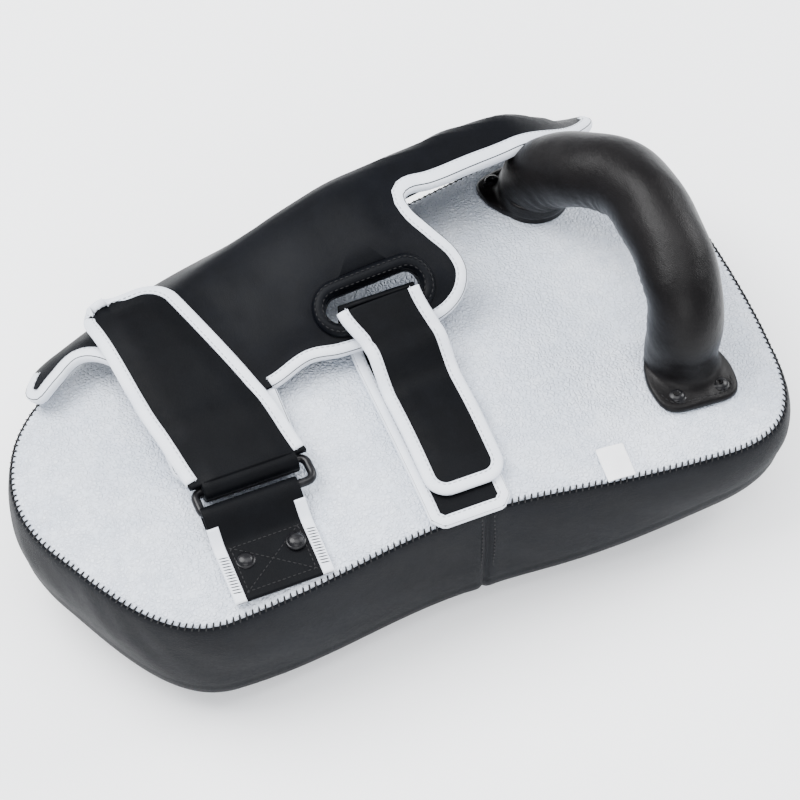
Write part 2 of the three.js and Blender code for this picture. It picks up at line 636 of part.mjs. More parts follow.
function gripTube(outer, inner) {
  const shape = new THREE.Shape();
  shape.absarc(0, 0, outer, 0, Math.PI * 2);
  if (inner) {
    const hole = new THREE.Path();
    hole.absarc(0, 0, inner, 0, Math.PI * 2);
    shape.holes.push(hole);
  }
  const settings = { steps: 14, bevelEnabled: false, extrudePath: handleCurve(), curveSegments: 6 };
  const above = boxSolid(0, 400, -200, 200, GRIP.axisZ, 400);
  return toGeometry(toManifold(new THREE.ExtrudeGeometry(shape, settings)).intersect(above));
}

function buildHandle() {
  const { radius, skin, foam } = GRIP;
  addPiece("handle_cover", gripTube(radius, radius - skin), "black");
  addPiece("handle_padding", gripTube(radius - skin - FIT, radius - skin - foam), "softFoam");
  addPiece("handle_core", gripTube(radius - skin - foam - FIT, 0), "webbing");
  const across = Math.atan2(FOOT_FAR.y - FOOT_NEAR.y, FOOT_FAR.x - FOOT_NEAR.x) - Math.PI / 2;
  for (const [name, foot, shift] of [["handle_tab_near", FOOT_NEAR, -14], ["handle_tab_far", FOOT_FAR, 10]]) {
    const centre = new THREE.Vector2(0, shift).rotateAround(new THREE.Vector2(), across);
    const plan = rounded(-TAB.length / 2, -TAB.width / 2, TAB.length / 2, TAB.width / 2, 4).map((p) => {
      return p.rotateAround(new THREE.Vector2(), across).add(centre).add(new THREE.Vector2(foot.x, foot.y));
    });
    const box = { x0: foot.x - 34, x1: foot.x + 34, y0: foot.y - 34, y1: foot.y + 34 };
    const low = (x, y) => panelZ(x, y) + 0.7;
    const plate = slab(low, (x, y) => low(x, y) + TAB.ply, box, 9).intersect(prism(plan));
    const base = panelZ(foot.x, foot.y) + 2.5;
    const boss = postSolid(foot.x, foot.y, base, GRIP.axisZ - FIT - 5.6, radius - 1, radius - 1, 20)
      .add(postSolid(foot.x, foot.y, GRIP.axisZ - FIT - 5.8, GRIP.axisZ - FIT, radius - 1, 1.5, 20));
    addPiece(name, toGeometry(holesThrough(plate.add(boss), FIT)), "black");
  }
  for (const item of bolts) addFastener(item, panelZ(item.x, item.y) + 1.6 + TAB.ply, "steel");
}

function buildLabel() {
  const box = { x0: 77, x1: 92, y0: -97, y1: -80 };
  const low = (x, y) => panelZ(x, y) + 0.4;
  addPiece("label_tab", toGeometry(slab(low, (x, y) => low(x, y) + 0.8, box, 8)), "label");
}

planBolts();
buildGusset();
buildPanel(buildFoam());
buildCuff();
buildRing();
buildAnchor();
buildForearmStrap();
buildWristStrap();
buildHandle();
buildLabel();

export default product;
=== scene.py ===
"""Looks of a thai pad: leather, binding, stitching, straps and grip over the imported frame."""
from __future__ import annotations

import json
import logging
import math
from dataclasses import dataclass, field
from enum import Enum
from typing import Callable, Sequence

import bmesh
import bpy
import numpy as np
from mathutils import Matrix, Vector
from mathutils.geometry import delaunay_2d_cdt

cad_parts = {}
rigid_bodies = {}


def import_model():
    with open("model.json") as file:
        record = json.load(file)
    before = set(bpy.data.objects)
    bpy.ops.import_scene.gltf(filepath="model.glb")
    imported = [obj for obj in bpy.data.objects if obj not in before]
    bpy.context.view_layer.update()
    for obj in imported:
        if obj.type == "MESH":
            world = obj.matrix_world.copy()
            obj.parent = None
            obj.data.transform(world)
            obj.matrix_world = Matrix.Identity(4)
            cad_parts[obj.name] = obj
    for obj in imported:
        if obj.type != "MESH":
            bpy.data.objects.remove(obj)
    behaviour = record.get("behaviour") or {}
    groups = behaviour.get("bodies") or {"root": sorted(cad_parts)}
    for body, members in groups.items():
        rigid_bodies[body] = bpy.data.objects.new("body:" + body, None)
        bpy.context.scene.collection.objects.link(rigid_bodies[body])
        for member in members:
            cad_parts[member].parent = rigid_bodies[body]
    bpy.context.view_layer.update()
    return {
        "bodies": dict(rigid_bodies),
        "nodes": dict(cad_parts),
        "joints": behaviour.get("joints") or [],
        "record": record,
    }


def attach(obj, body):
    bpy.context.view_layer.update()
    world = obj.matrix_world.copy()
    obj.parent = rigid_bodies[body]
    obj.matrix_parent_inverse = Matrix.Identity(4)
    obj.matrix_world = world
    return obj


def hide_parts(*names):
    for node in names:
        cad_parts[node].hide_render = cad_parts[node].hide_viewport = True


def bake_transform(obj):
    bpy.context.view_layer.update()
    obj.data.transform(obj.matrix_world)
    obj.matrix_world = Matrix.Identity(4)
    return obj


LOG = logging.getLogger("thai_pad")
MM = 0.001
Array = np.ndarray
Height = Callable[[Array, Array], Array]


# ---------------------------------------------------------------- plain shape maths
def smooth(value: Array | float, low: float, high: float) -> Array | float:
    """Smoothstep of value between low and high."""
    t = np.clip((np.asarray(value, float) - low) / (high - low), 0.0, 1.0)
    return t * t * (3 - 2 * t)


def mix(a: Array | float, b: Array | float, t: Array | float) -> Array | float:
    """Linear blend from a to b."""
    return a + (b - a) * t


def unit(vectors: Array) -> Array:
    """Rows scaled to length one."""
    return vectors / np.maximum(np.linalg.norm(vectors, axis=-1, keepdims=True), 1e-9)


def resample(points: Array, spacing: float, closed: bool) -> Array:
    """Even spacing along a polyline.

    Args:
        points: Polyline, one point a row.
        spacing: Wanted distance between points.
        closed: Whether the last point joins the first.

    Returns:
        The new points, without a repeated end on a closed line.
    """
    line = np.vstack([points, points[:1]]) if closed else np.asarray(points, float)
    step = np.linalg.norm(np.diff(line, axis=0), axis=1)
    along = np.concatenate([[0.0], np.cumsum(step)])
    count = max(4, int(round(along[-1] / spacing)))
    at = np.linspace(0, along[-1], count + 1)
    out = np.stack([np.interp(at, along, line[:, k]) for k in range(line.shape[1])], axis=1)
    return out[:-1] if closed else out


def catmull(knots: Array, closed: bool, per: int = 14) -> Array:
    """Centripetal Catmull-Rom curve through knots.

    Args:
        knots: Points to pass through.
        closed: Whether the curve closes.
        per: Points for each span.

    Returns:
        Dense points on the curve.
    """
    knots = np.asarray(knots, float)
    if closed:
        ring = np.vstack([knots[-1], knots, knots[:2]])
    else:
        ring = np.vstack([2 * knots[0] - knots[1], knots, 2 * knots[-1] - knots[-2]])
    out = []
    for p0, p1, p2, p3 in zip(ring, ring[1:], ring[2:], ring[3:]):
        t1 = max(np.linalg.norm(p1 - p0) ** 0.5, 1e-6)
        t2 = t1 + max(np.linalg.norm(p2 - p1) ** 0.5, 1e-6)
        t3 = t2 + max(np.linalg.norm(p3 - p2) ** 0.5, 1e-6)
        t = np.linspace(t1, t2, per, endpoint=False)[:, None]
        a1 = (t1 - t) / t1 * p0 + t / t1 * p1
        a2 = (t2 - t) / (t2 - t1) * p1 + (t - t1) / (t2 - t1) * p2
        a3 = (t3 - t) / (t3 - t2) * p2 + (t - t2) / (t3 - t2) * p3
        b1 = (t2 - t) / t2 * a1 + t / t2 * a2
        b2 = (t3 - t) / (t3 - t1) * a2 + (t - t1) / (t3 - t1) * a3
        out.append((t2 - t) / (t2 - t1) * b1 + (t - t1) / (t2 - t1) * b2)
    points = np.vstack(out)
    return points if closed else np.vstack([points, knots[-1:]])


def inward(points: Array, closed: bool = True) -> Array:
    """Unit normals that point into an outline drawn anticlockwise."""
    if closed:
        along = np.roll(points, -1, axis=0) - np.roll(points, 1, axis=0)
    else:
        along = np.gradient(points, axis=0)
    along = unit(along[:, :2])
    return np.stack([-along[:, 1], along[:, 0]], axis=1)


def edge_distance(points: Array, outline: Array, closed: bool = True) -> Array:
    """Distance from each point to an outline's nearest segment."""
    ends = np.roll(outline, -1, axis=0) if closed else outline[1:]
    starts = outline if closed else outline[:-1]
    span = ends - starts
    length = np.maximum((span**2).sum(1), 1e-9)
    best = np.full(len(points), 1e9)
    for low in range(0, len(points), 4000):
        block = points[low : low + 4000, None, :]
        t = np.clip(((block - starts) * span).sum(2) / length, 0, 1)
        gap = block - (starts + t[..., None] * span)
        best[low : low + 4000] = np.sqrt((gap**2).sum(2)).min(1)
    return best


def contains(points: Array, outline: Array) -> Array:
    """Which points lie inside a closed outline."""
    x, y = points[:, 0][:, None], points[:, 1][:, None]
    x0, y0 = outline[:, 0], outline[:, 1]
    x1, y1 = np.roll(x0, -1), np.roll(y0, -1)
    crosses = (y0 > y) != (y1 > y)
    rise = np.where(np.abs(y1 - y0) < 1e-12, 1e-12, y1 - y0)
    return (crosses & (x < (x1 - x0) * (y - y0) / rise + x0)).sum(1) % 2 == 1


def oblong(x: float, y: float, length: float, width: float, count: int = 20) -> Array:
    """Outline of a slot with round ends, anticlockwise."""
    radius, reach = width / 2, (length - width) / 2
    right = np.linspace(-math.pi / 2, math.pi / 2, count)
    ends = [(x + reach + radius * math.cos(a), y + radius * math.sin(a)) for a in right]
    ends += [(x - reach - radius * math.cos(a), y - radius * math.sin(a)) for a in right]
    return np.array(ends)


# ---------------------------------------------------------------- meshes
def make_mesh(name: str, points: Array, faces: Sequence[Sequence[int]],
              closed: bool = True) -> bpy.types.Object:
    """Smooth-shaded mesh object from millimetre points.

    Args:
        name: Name of the piece.
        points: Vertices in millimetres.
        faces: Vertex indices of each face.
        closed: Whether the shape is a closed body, so that normals can be set outwards.

    Returns:
        The new object, linked to the scene.
    """
    mesh = bpy.data.meshes.new(name)
    mesh.from_pydata((np.asarray(points, float) * MM).tolist(), [],
                     [tuple(map(int, f)) for f in faces])
    work = bmesh.new()
    work.from_mesh(mesh)
    bmesh.ops.remove_doubles(work, verts=work.verts, dist=2e-6)
    bmesh.ops.dissolve_degenerate(work, edges=work.edges, dist=1e-6)
    if closed:
        bmesh.ops.recalc_face_normals(work, faces=work.faces)
    work.to_mesh(mesh)
    work.free()
    mesh.shade_smooth()
    piece = bpy.data.objects.new(name, mesh)
    bpy.context.scene.collection.objects.link(piece)
    return piece


def skin(name: str, loops: Sequence[Array], ring: bool, caps: bool = True,
         around: bool = True) -> bpy.types.Object:
    """Skin equal loops of points into one piece.

    Args:
        name: Name of the piece.
        loops: Loops of points, all of one length.
        ring: Whether the last loop joins the first.
        caps: Whether open ends are closed with a fan.
        around: Whether each loop closes on itself.

    Returns:
        The new piece.
    """
    count = len(loops[0])
    points = list(np.vstack(loops))
    faces: list[tuple[int, ...]] = []
    rows = len(loops) if ring else len(loops) - 1
    for row in range(rows):
        a, b = row * count, ((row + 1) % len(loops)) * count
        for i in range(count if around else count - 1):
            j = (i + 1) % count
            faces.append((a + i, a + j, b + j, b + i))
    if caps and not ring:
        for row in (0, len(loops) - 1):
            points.append(np.mean(loops[row], axis=0))
            middle = len(points) - 1
            faces += [(row * count + i, row * count + (i + 1) % count, middle) for i in range(count)]
    return make_mesh(name, np.array(points), faces)


@dataclass
class Region:
    """Plan area filled with triangles, ready to be raised into a soft panel."""

    outline: Array
    spacing: float
    holes: Sequence[Array] = ()
    rings: Sequence[float] = (0.9, 2.2, 4.2, 7.0)
    points: Array = field(init=False)
    faces: Array = field(init=False)
    depth: Array = field(init=False)

    def __post_init__(self) -> None:
        """Fill the area between the outline and the holes."""
        borders = [self.outline, *self.holes]
        low, high = self.outline.min(0), self.outline.max(0)
        rows = np.arange(low[1], high[1], self.spacing * 0.87)
        grid = [
            np.stack([np.arange(low[0] + (k % 2) * self.spacing / 2, high[0], self.spacing),],
                     axis=1)
            for k in range(len(rows))
        ]
        loose = np.vstack([np.column_stack([g, np.full(len(g), y)]) for g, y in zip(grid, rows)])
        inner = [loose[self._clear(loose, self.rings[-1] + self.spacing * 0.5)]]
        for border, sign in [(self.outline, 1.0)] + [(h, -1.0) for h in self.holes]:
            for depth in self.rings:
                ring = border + sign * inward(border) * depth
                inner.append(ring[self._clear(ring, depth * 0.93)])
        count = 0
        edges = []
        for border in borders:
            size = len(border)
            edges += [(count + i, count + (i + 1) % size) for i in range(size)]
            count += size
        cloud = np.vstack([*borders, *inner])
        found = delaunay_2d_cdt([Vector(p) for p in cloud], edges, [], 0, 1e-4)
        self.points = np.array([tuple(p) for p in found[0]])
        faces = np.array([f for f in found[2] if len(f) == 3])
        middle = self.points[faces].mean(1)
        keep = contains(middle, self.outline)
        for hole in self.holes:
            keep &= ~contains(middle, hole)
        self.faces = faces[keep]
        self.depth = np.min([edge_distance(self.points, border) for border in borders], axis=0)

    def _clear(self, spots: Array, gap: float) -> Array:
        """Which spots are inside the area and at least gap from every border."""
        good = contains(spots, self.outline) & (edge_distance(spots, self.outline) > gap)
        for hole in self.holes:
            good &= ~contains(spots, hole) & (edge_distance(spots, hole) > gap)
        return good

    def solid(self, name: str, top: Array, bottom: Array) -> bpy.types.Object:
        """Closed body between a top and a bottom copy of the area.

        Args:
            name: Name of the piece.
            top: Upper points, one for each plan point.
            bottom: Lower points, one for each plan point.

        Returns:
            The new piece.
        """
        count = len(self.points)
        faces = [tuple(f) for f in self.faces] + [tuple(f[::-1] + count) for f in self.faces]
        sides: dict[tuple[int, int], int] = {}
        for a, b, c in self.faces:
            for edge in ((a, b), (b, c), (c, a)):
                sides[edge] = 1
        rim = [edge for edge in sides if (edge[1], edge[0]) not in sides]
        faces += [(b, a, a + count, b + count) for a, b in rim]
        return make_mesh(name, np.vstack([top, bottom]), faces)


@dataclass
class SoftSurface:
    """Height map with its normals, and an optional warp applied to finished points."""

    height: Height
    warp: Callable[[Array], Array] = lambda points: points

    def frame(self, plan: Array) -> tuple[Array, Array, Array]:
        """Points on the surface with their normals and slopes."""
        x, y = plan[:, 0], plan[:, 1]
        slope_x = (self.height(x + 0.5, y) - self.height(x - 0.5, y))
        slope_y = (self.height(x, y + 0.5) - self.height(x, y - 0.5))
        normal = unit(np.stack([-slope_x, -slope_y, np.ones_like(x)], axis=1))
        spots = np.stack([x, y, self.height(x, y)], axis=1)
        return spots, normal, np.stack([slope_x, slope_y], axis=1)

    def panel(self, name: str, region: Region, upper: Array, lower: Array) -> bpy.types.Object:
        """Closed panel with given offsets above and below the surface."""
        spots, normal, _ = self.frame(region.points)
        top = self.warp(spots + normal * upper[:, None])
        bottom = self.warp(spots - normal * lower[:, None])
        return region.solid(name, top, bottom)

    def edging(self, name: str, path: Array, section: Array, closed: bool) -> bpy.types.Object:
        """Sweep a section along a plan path that lies on the surface.

        Args:
            name: Name of the piece.
            path: Plan points, anticlockwise round the panel.
            section: Pairs of inward and upward offsets.
            closed: Whether the path closes.

        Returns:
            The new piece.
        """
        spots, normal, slope = self.frame(path)
        into = inward(path, closed)
        rise = (slope * into).sum(1)
        side = unit(np.column_stack([into, rise]))
        loops = [self.warp(spots + side * a + normal * b) for a, b in section]
        turned = [np.array([loop[i] for loop in loops]) for i in range(len(path))]
        return skin(name, turned, ring=closed)

    def line(self, path: Array, lift: float, depth: float = 0.0,
             closed: bool = False) -> tuple[Array, Array]:
        """Points and normals of a line drawn on the surface, for stitching."""
        into = inward(path, closed)
        spots, normal, _ = self.frame(path[:, :2] + into * depth)
        return self.warp(spots + normal * lift), normal


def binding_section(width: float, half: float) -> Array:
    """Section of a tape folded over an edge, as inward and upward offsets."""
    return np.array([
        (width, half * 0.80), (width - 0.5, half), (width * 0.55, half + 0.25), (1.0, half + 0.1),
        (-0.2, half * 0.72), (-0.75, half * 0.3), (-0.75, -half * 0.3), (-0.2, -half * 0.72),
        (1.0, -half - 0.1), (width * 0.55, -half - 0.25), (width - 0.5, -half),
        (width, -half * 0.80),
    ])


def tube(name: str, path: Array, radius: Array | float, sides: int = 14,
         closed: bool = False) -> bpy.types.Object:
    """Round tube along a path, with its frames carried without twist."""
    along = unit(np.gradient(path, axis=0) if not closed else np.roll(path, -1, 0) - np.roll(path,
                                                                                             1, 0))
    radii = np.broadcast_to(radius, (len(path),))
    up = np.array([0.0, 0.0, 1.0]) if abs(along[0][2]) < 0.9 else np.array([1.0, 0.0, 0.0])
    loops = []
    for spot, way, size in zip(path, along, radii):
        up = unit(up - way * (up @ way))
        side = np.cross(way, up)
        turn = np.linspace(0, 2 * math.pi, sides, endpoint=False)[:, None]
        loops.append(spot + size * (np.cos(turn) * side + np.sin(turn) * up))
    return skin(name, loops, ring=closed)


def merge(name: str, pieces: Sequence[bpy.types.Object]) -> bpy.types.Object:
    """Join meshes into the first one and rename it."""
    work = bmesh.new()
    for piece in pieces:
        work.from_mesh(piece.data)
    mesh = bpy.data.meshes.new(name)
    work.to_mesh(mesh)
    work.free()
    for piece in pieces:
        bpy.data.objects.remove(piece, do_unlink=True)
    mesh.shade_smooth()
    whole = bpy.data.objects.new(name, mesh)
    bpy.context.scene.collection.objects.link(whole)
    return whole


# ---------------------------------------------------------------- shader maths
class Wire:
    """A socket that takes part in Python arithmetic by adding Math nodes."""

    def __init__(self, desk: "Desk", socket: bpy.types.NodeSocket) -> None:
        """Wrap one output socket of a desk's tree."""
        self.desk = desk
        self.socket = socket

    def _maths(self, operation: str, *values: "Wire | float") -> "Wire":
        """One Math node over the given values."""
        return self.desk.node("ShaderNodeMath", {"operation": operation}, dict(enumerate(values)))

    def __add__(self, other: "Wire | float") -> "Wire":
        """Sum."""
        return self._maths("ADD", self, other)

    def __radd__(self, other: float) -> "Wire":
        """Reflected sum."""
        return self._maths("ADD", other, self)

    def __sub__(self, other: "Wire | float") -> "Wire":
        """Difference."""
        return self._maths("SUBTRACT", self, other)

    def __rsub__(self, other: float) -> "Wire":
        """Reflected difference."""
        return self._maths("SUBTRACT", other, self)

    def __mul__(self, other: "Wire | float") -> "Wire":
        """Product."""
        return self._maths("MULTIPLY", self, other)

    def __rmul__(self, other: float) -> "Wire":
        """Reflected product."""
        return self._maths("MULTIPLY", other, self)

    def fit(self, low: float, high: float) -> "Wire":
        """Smooth step from low to high."""
        kind = {"interpolation_type": "SMOOTHSTEP"}
        return self.desk.node("ShaderNodeMapRange", kind,
                              {"Value": self, "From Min": low, "From Max": high})


class Desk:
    """One material's node tree, with a single way to add nodes."""

    def __init__(self, name: str) -> None:
        """Start an empty material."""
        self.material = bpy.data.materials.new(name)
        self.material.use_nodes = True
        self.tree = self.material.node_tree
        self.tree.nodes.clear()

    def node(self, kind: str, settings: dict | None = None, values: dict | None = None,
             out: str | int = 0) -> Wire:
        """Add a node.

        Args:
            kind: Node type.
            settings: Node properties, set first; "stops" fills a colour ramp.
            values: Numbers, colours or wires for its inputs, by name or index.
            out: Output to return.

        Returns:
            The chosen output.
        """
        made = self.tree.nodes.new(kind)
        for key, value in (settings or {}).items():
            if key == "stops":
                ramp = made.color_ramp.elements
                while len(ramp) < len(value):
                    ramp.new(0.5)
                for stop, (place, colour) in zip(ramp, value):
                    stop.position = place
                    stop.color = (*colour, 1.0)
            else:
                setattr(made, key, value)
        for key, value in (values or {}).items():
            socket = made.inputs[key]
            if isinstance(value, Wire):
                self.tree.links.new(value.socket, socket)
            else:
                socket.default_value = value
        return Wire(self, made.outputs[out])

    def place(self) -> Wire:
        """Object coordinates."""
        return self.node("ShaderNodeTexCoord", out="Object")

    def noise(self, size_mm: float, detail: float = 3.0,
              stretch: tuple[float, float, float] | None = None) -> Wire:
        """Noise whose features are about size_mm across."""
        spot = self.place()
        if stretch:
            spot = self.node("ShaderNodeVectorMath", {"operation": "MULTIPLY"},
                             {0: spot, 1: stretch})
        return self.node("ShaderNodeTexNoise", {},
                         {"Vector": spot, "Scale": 1000.0 / size_mm, "Detail": detail})

    def cells(self, size_mm: float, feature: str = "DISTANCE_TO_EDGE") -> Wire:
        """Voronoi cells about size_mm across, with slightly wandering edges."""
        wander = self.node("ShaderNodeTexNoise", {},
                           {"Vector": self.place(), "Scale": 700.0 / size_mm}, "Color")
        push = self.node("ShaderNodeVectorMath", {"operation": "SCALE"},
                         {0: wander, "Scale": size_mm * 0.0006})
        spot = self.node("ShaderNodeVectorMath", {"operation": "ADD"}, {0: self.place(), 1: push})
        return self.node("ShaderNodeTexVoronoi", {"feature": feature},
                         {"Vector": spot, "Scale": 1000.0 / size_mm})

    def blend(self, low: tuple[float, ...], high: tuple[float, ...], factor: Wire) -> Wire:
        """Colour between low and high."""
        made = self.tree.nodes.new("ShaderNodeMix")
        made.data_type = "RGBA"
        made.inputs[6].default_value = (*low, 1.0)
        made.inputs[7].default_value = (*high, 1.0)
        self.tree.links.new(factor.socket, made.inputs[0])
        return Wire(self, made.outputs[2])

    def bump(self, height: Wire, depth_mm: float, under: Wire | None = None) -> Wire:
        """Bump node of a given depth in millimetres."""
        values: dict = {"Height": height, "Strength": 1.0, "Distance": depth_mm * MM}
        if under is not None:
            values["Normal"] = under
        return self.node("ShaderNodeBump", {}, values)

    def finish(self, **values: Wire | float | tuple) -> bpy.types.Material:
        """Principled shader into the output; keywords name its sockets with underscores."""
        named = {key.replace("_", " "): value for key, value in values.items()}
        renames = {"Specular": "Specular IOR Level"}
        shader = self.node("ShaderNodeBsdfPrincipled", {},
                           {renames.get(k, k): v for k, v in named.items()})
        self.node_out(shader)
        return self.material

    def node_out(self, shader: Wire) -> None:
        """Link a shader to the material output."""
        made = self.tree.nodes.new("ShaderNodeOutputMaterial")
        self.tree.links.new(shader.socket, made.inputs["Surface"])


@dataclass(frozen=True)
class LeatherFinish:
    """Grained leather with slow tone changes, fine creases and uneven gloss."""

    name: str
    dark: tuple[float, float, float]
    light: tuple[float, float, float]
    grain_mm: float = 0.9
    grain_depth: float = 0.06
    crease_mm: float = 14.0
    crease_depth: float = 0.25
    gloss: tuple[float, float] = (0.34, 0.5)
    specular: float = 0.5
    sheen: float = 0.0

    def build(self) -> bpy.types.Material:
        """Make the material."""
        desk = Desk(self.name)
        tone = desk.noise(60.0, 3.0)
        patch = desk.noise(9.0, 4.0)
        cell = desk.cells(self.grain_mm).fit(0.0, 0.32)
        pore = desk.noise(self.grain_mm * 0.45, 2.0)
        crease = desk.noise(self.crease_mm, 5.0, (1.0, 0.45, 1.0))
        grime = (tone * 0.6 + patch * 0.4).fit(0.36, 0.66)
        colour = desk.blend(self.dark, self.light, grime * 0.75 + cell * 0.25)
        rough = self.gloss[0] + (self.gloss[1] - self.gloss[0]) * (patch * 0.5 + (1.0 - cell) * 0.5)
        soft = desk.bump(crease, self.crease_depth)
        fine = desk.bump(cell * 0.8 + pore * 0.35, self.grain_depth, soft)
        return desk.finish(
            Base_Color=colour, Roughness=rough, Normal=fine, Specular=self.specular,
            Sheen_Weight=self.sheen, Sheen_Roughness=0.4,
        )


@dataclass(frozen=True)
class WovenFinish:
    """Plain weave cloth or webbing."""

    name: str
    dark: tuple[float, float, float]
    light: tuple[float, float, float]
    yarn_mm: float = 0.7
    depth: float = 0.12
    rough: float = 0.85

    def build(self) -> bpy.types.Material:
        """Make the material."""
        desk = Desk(self.name)
        warp = desk.node("ShaderNodeTexWave", {"bands_direction": "X"}, {
            "Vector": desk.place(), "Scale": 320.0 / self.yarn_mm, "Distortion": 0.6})
        weft = desk.node("ShaderNodeTexWave", {"bands_direction": "Y"}, {
            "Vector": desk.place(), "Scale": 320.0 / self.yarn_mm, "Distortion": 0.6})
        weave = warp * 0.5 + weft * 0.5
        tone = desk.noise(12.0, 4.0).fit(0.35, 0.7)
        colour = desk.blend(self.dark, self.light, weave * 0.5 + tone * 0.5)
        return desk.finish(Base_Color=colour, Roughness=self.rough,
                           Normal=desk.bump(weave, self.depth), Specular=0.25, Sheen_Weight=0.3)


@dataclass(frozen=True)
class ThreadFinish:
    """Twisted sewing thread."""

    name: str
    colour: tuple[float, float, float]
    rough: float = 0.6

    def build(self) -> bpy.types.Material:
        """Make the material."""
        desk = Desk(self.name)
        twist = desk.noise(0.5, 2.0)
        low = tuple(c * 0.7 for c in self.colour)
        colour = desk.blend(low, self.colour, twist.fit(0.3, 0.7))
        return desk.finish(Base_Color=colour, Roughness=self.rough, Normal=desk.bump(twist, 0.08),
                           Specular=0.3)


@dataclass(frozen=True)
class CoatedMetalFinish:
    """Black coated steel with slight orange peel and worn edges."""

    name: str
    colour: tuple[float, float, float] = (0.004, 0.004, 0.005)
    rough: float = 0.3
    metallic: float = 0.0

    def build(self) -> bpy.types.Material:
        """Make the material."""
        desk = Desk(self.name)
        peel = desk.noise(0.8, 3.0)
        rub = desk.noise(4.0, 5.0).fit(0.55, 0.72)
        worn = tuple(min(1.0, c * 2.2 + 0.008) for c in self.colour)
        colour = desk.blend(self.colour, worn, rub * 0.5)
        rough = self.rough + 0.18 * rub
        return desk.finish(Base_Color=colour, Roughness=rough, Metallic=self.metallic,
                           Specular=0.22, Normal=desk.bump(peel, 0.02))


@dataclass(frozen=True)
class FoamFinish:
    """Open or closed cell foam, or pressed fibre board."""

    name: str
    dark: tuple[float, float, float]
    light: tuple[float, float, float]
    cell_mm: float = 1.2

    def build(self) -> bpy.types.Material:
        """Make the material."""
        desk = Desk(self.name)
        pit = desk.cells(self.cell_mm, "F1")
        colour = desk.blend(self.dark, self.light, pit.fit(0.1, 0.7))
        return desk.finish(Base_Color=colour, Roughness=0.95, Normal=desk.bump(pit, 0.2),
                           Specular=0.2)


class Palette(Enum):
    """The object's finishes."""

    BACK = LeatherFinish(
        "white_pebbled_leather", dark=(0.50, 0.55, 0.635), light=(0.66, 0.70, 0.765),
        grain_mm=2.2, grain_depth=0.6, crease_mm=40.0, crease_depth=0.9, gloss=(0.44, 0.58),
        specular=0.4,
    )
    SIDE = LeatherFinish(
        "black_side_leather", dark=(0.0012, 0.0016, 0.0028), light=(0.0028, 0.0036, 0.0056),
        grain_mm=1.2, grain_depth=0.07, crease_mm=22.0, crease_depth=0.5, gloss=(0.42, 0.56),
        specular=0.07,
    )
    CUFF = LeatherFinish(
        "black_cuff_leather", dark=(0.0010, 0.0013, 0.0022), light=(0.0022, 0.0027, 0.0042),
        grain_mm=0.7, grain_depth=0.04, crease_mm=26.0, crease_depth=0.55, gloss=(0.38, 0.5),
        specular=0.07,
    )
    STRAP = LeatherFinish(
        "black_strap_leather", dark=(0.0010, 0.0012, 0.0018), light=(0.0020, 0.0024, 0.0034),
        grain_mm=0.7, grain_depth=0.04, crease_mm=16.0, crease_depth=0.3, gloss=(0.40, 0.52),
        specular=0.06,
    )
    GRIP = LeatherFinish(
        "black_grip_leather", dark=(0.0016, 0.0013, 0.0015), light=(0.0036, 0.0030, 0.0032),
        grain_mm=0.8, grain_depth=0.05, crease_mm=10.0, crease_depth=0.6, gloss=(0.28, 0.40),
        specular=0.13,
    )
    BINDING = LeatherFinish(
        "white_binding_tape", dark=(0.60, 0.64, 0.71), light=(0.72, 0.75, 0.80),
        grain_mm=0.6, grain_depth=0.03, crease_mm=7.0, crease_depth=0.14, gloss=(0.40, 0.52),
        specular=0.45,
    )
    LABEL = WovenFinish("care_label_cloth", (0.74, 0.75, 0.78), (0.88, 0.89, 0.9), 0.5, 0.05, 0.7)
    GREY_THREAD = ThreadFinish("grey_thread", (0.44, 0.46, 0.50))
    BLACK_THREAD = ThreadFinish("black_thread", (0.004, 0.004, 0.005), 0.6)
    WIRE = CoatedMetalFinish("black_ring_wire", rough=0.28)
    RIVET = CoatedMetalFinish("black_rivet", (0.004, 0.004, 0.005), 0.27)
    DENSE_FOAM = FoamFinish("dense_foam", (0.04, 0.04, 0.045), (0.12, 0.12, 0.13))
    SOFT_FOAM = FoamFinish("soft_foam", (0.45, 0.43, 0.37), (0.66, 0.64, 0.58), 1.8)
    BOARD = FoamFinish("fibre_board", (0.26, 0.18, 0.11), (0.42, 0.31, 0.2), 0.9)


class Wardrobe:
    """Builds each finish once and puts it on pieces."""

    def __init__(self) -> None:
        """Start with nothing built."""
        self.made: dict[Palette, bpy.types.Material] = {}

    def get(self, finish: Palette) -> bpy.types.Material:
        """The material of a finish."""
        if finish not in self.made:
            self.made[finish] = finish.value.build()
        return self.made[finish]

    def dress(self, piece: bpy.types.Object, finish: Palette, slot: str) -> bpy.types.Object:
        """Give a piece its material."""
        piece.data.materials.clear()
        piece.data.materials.append(self.get(finish))
        return piece


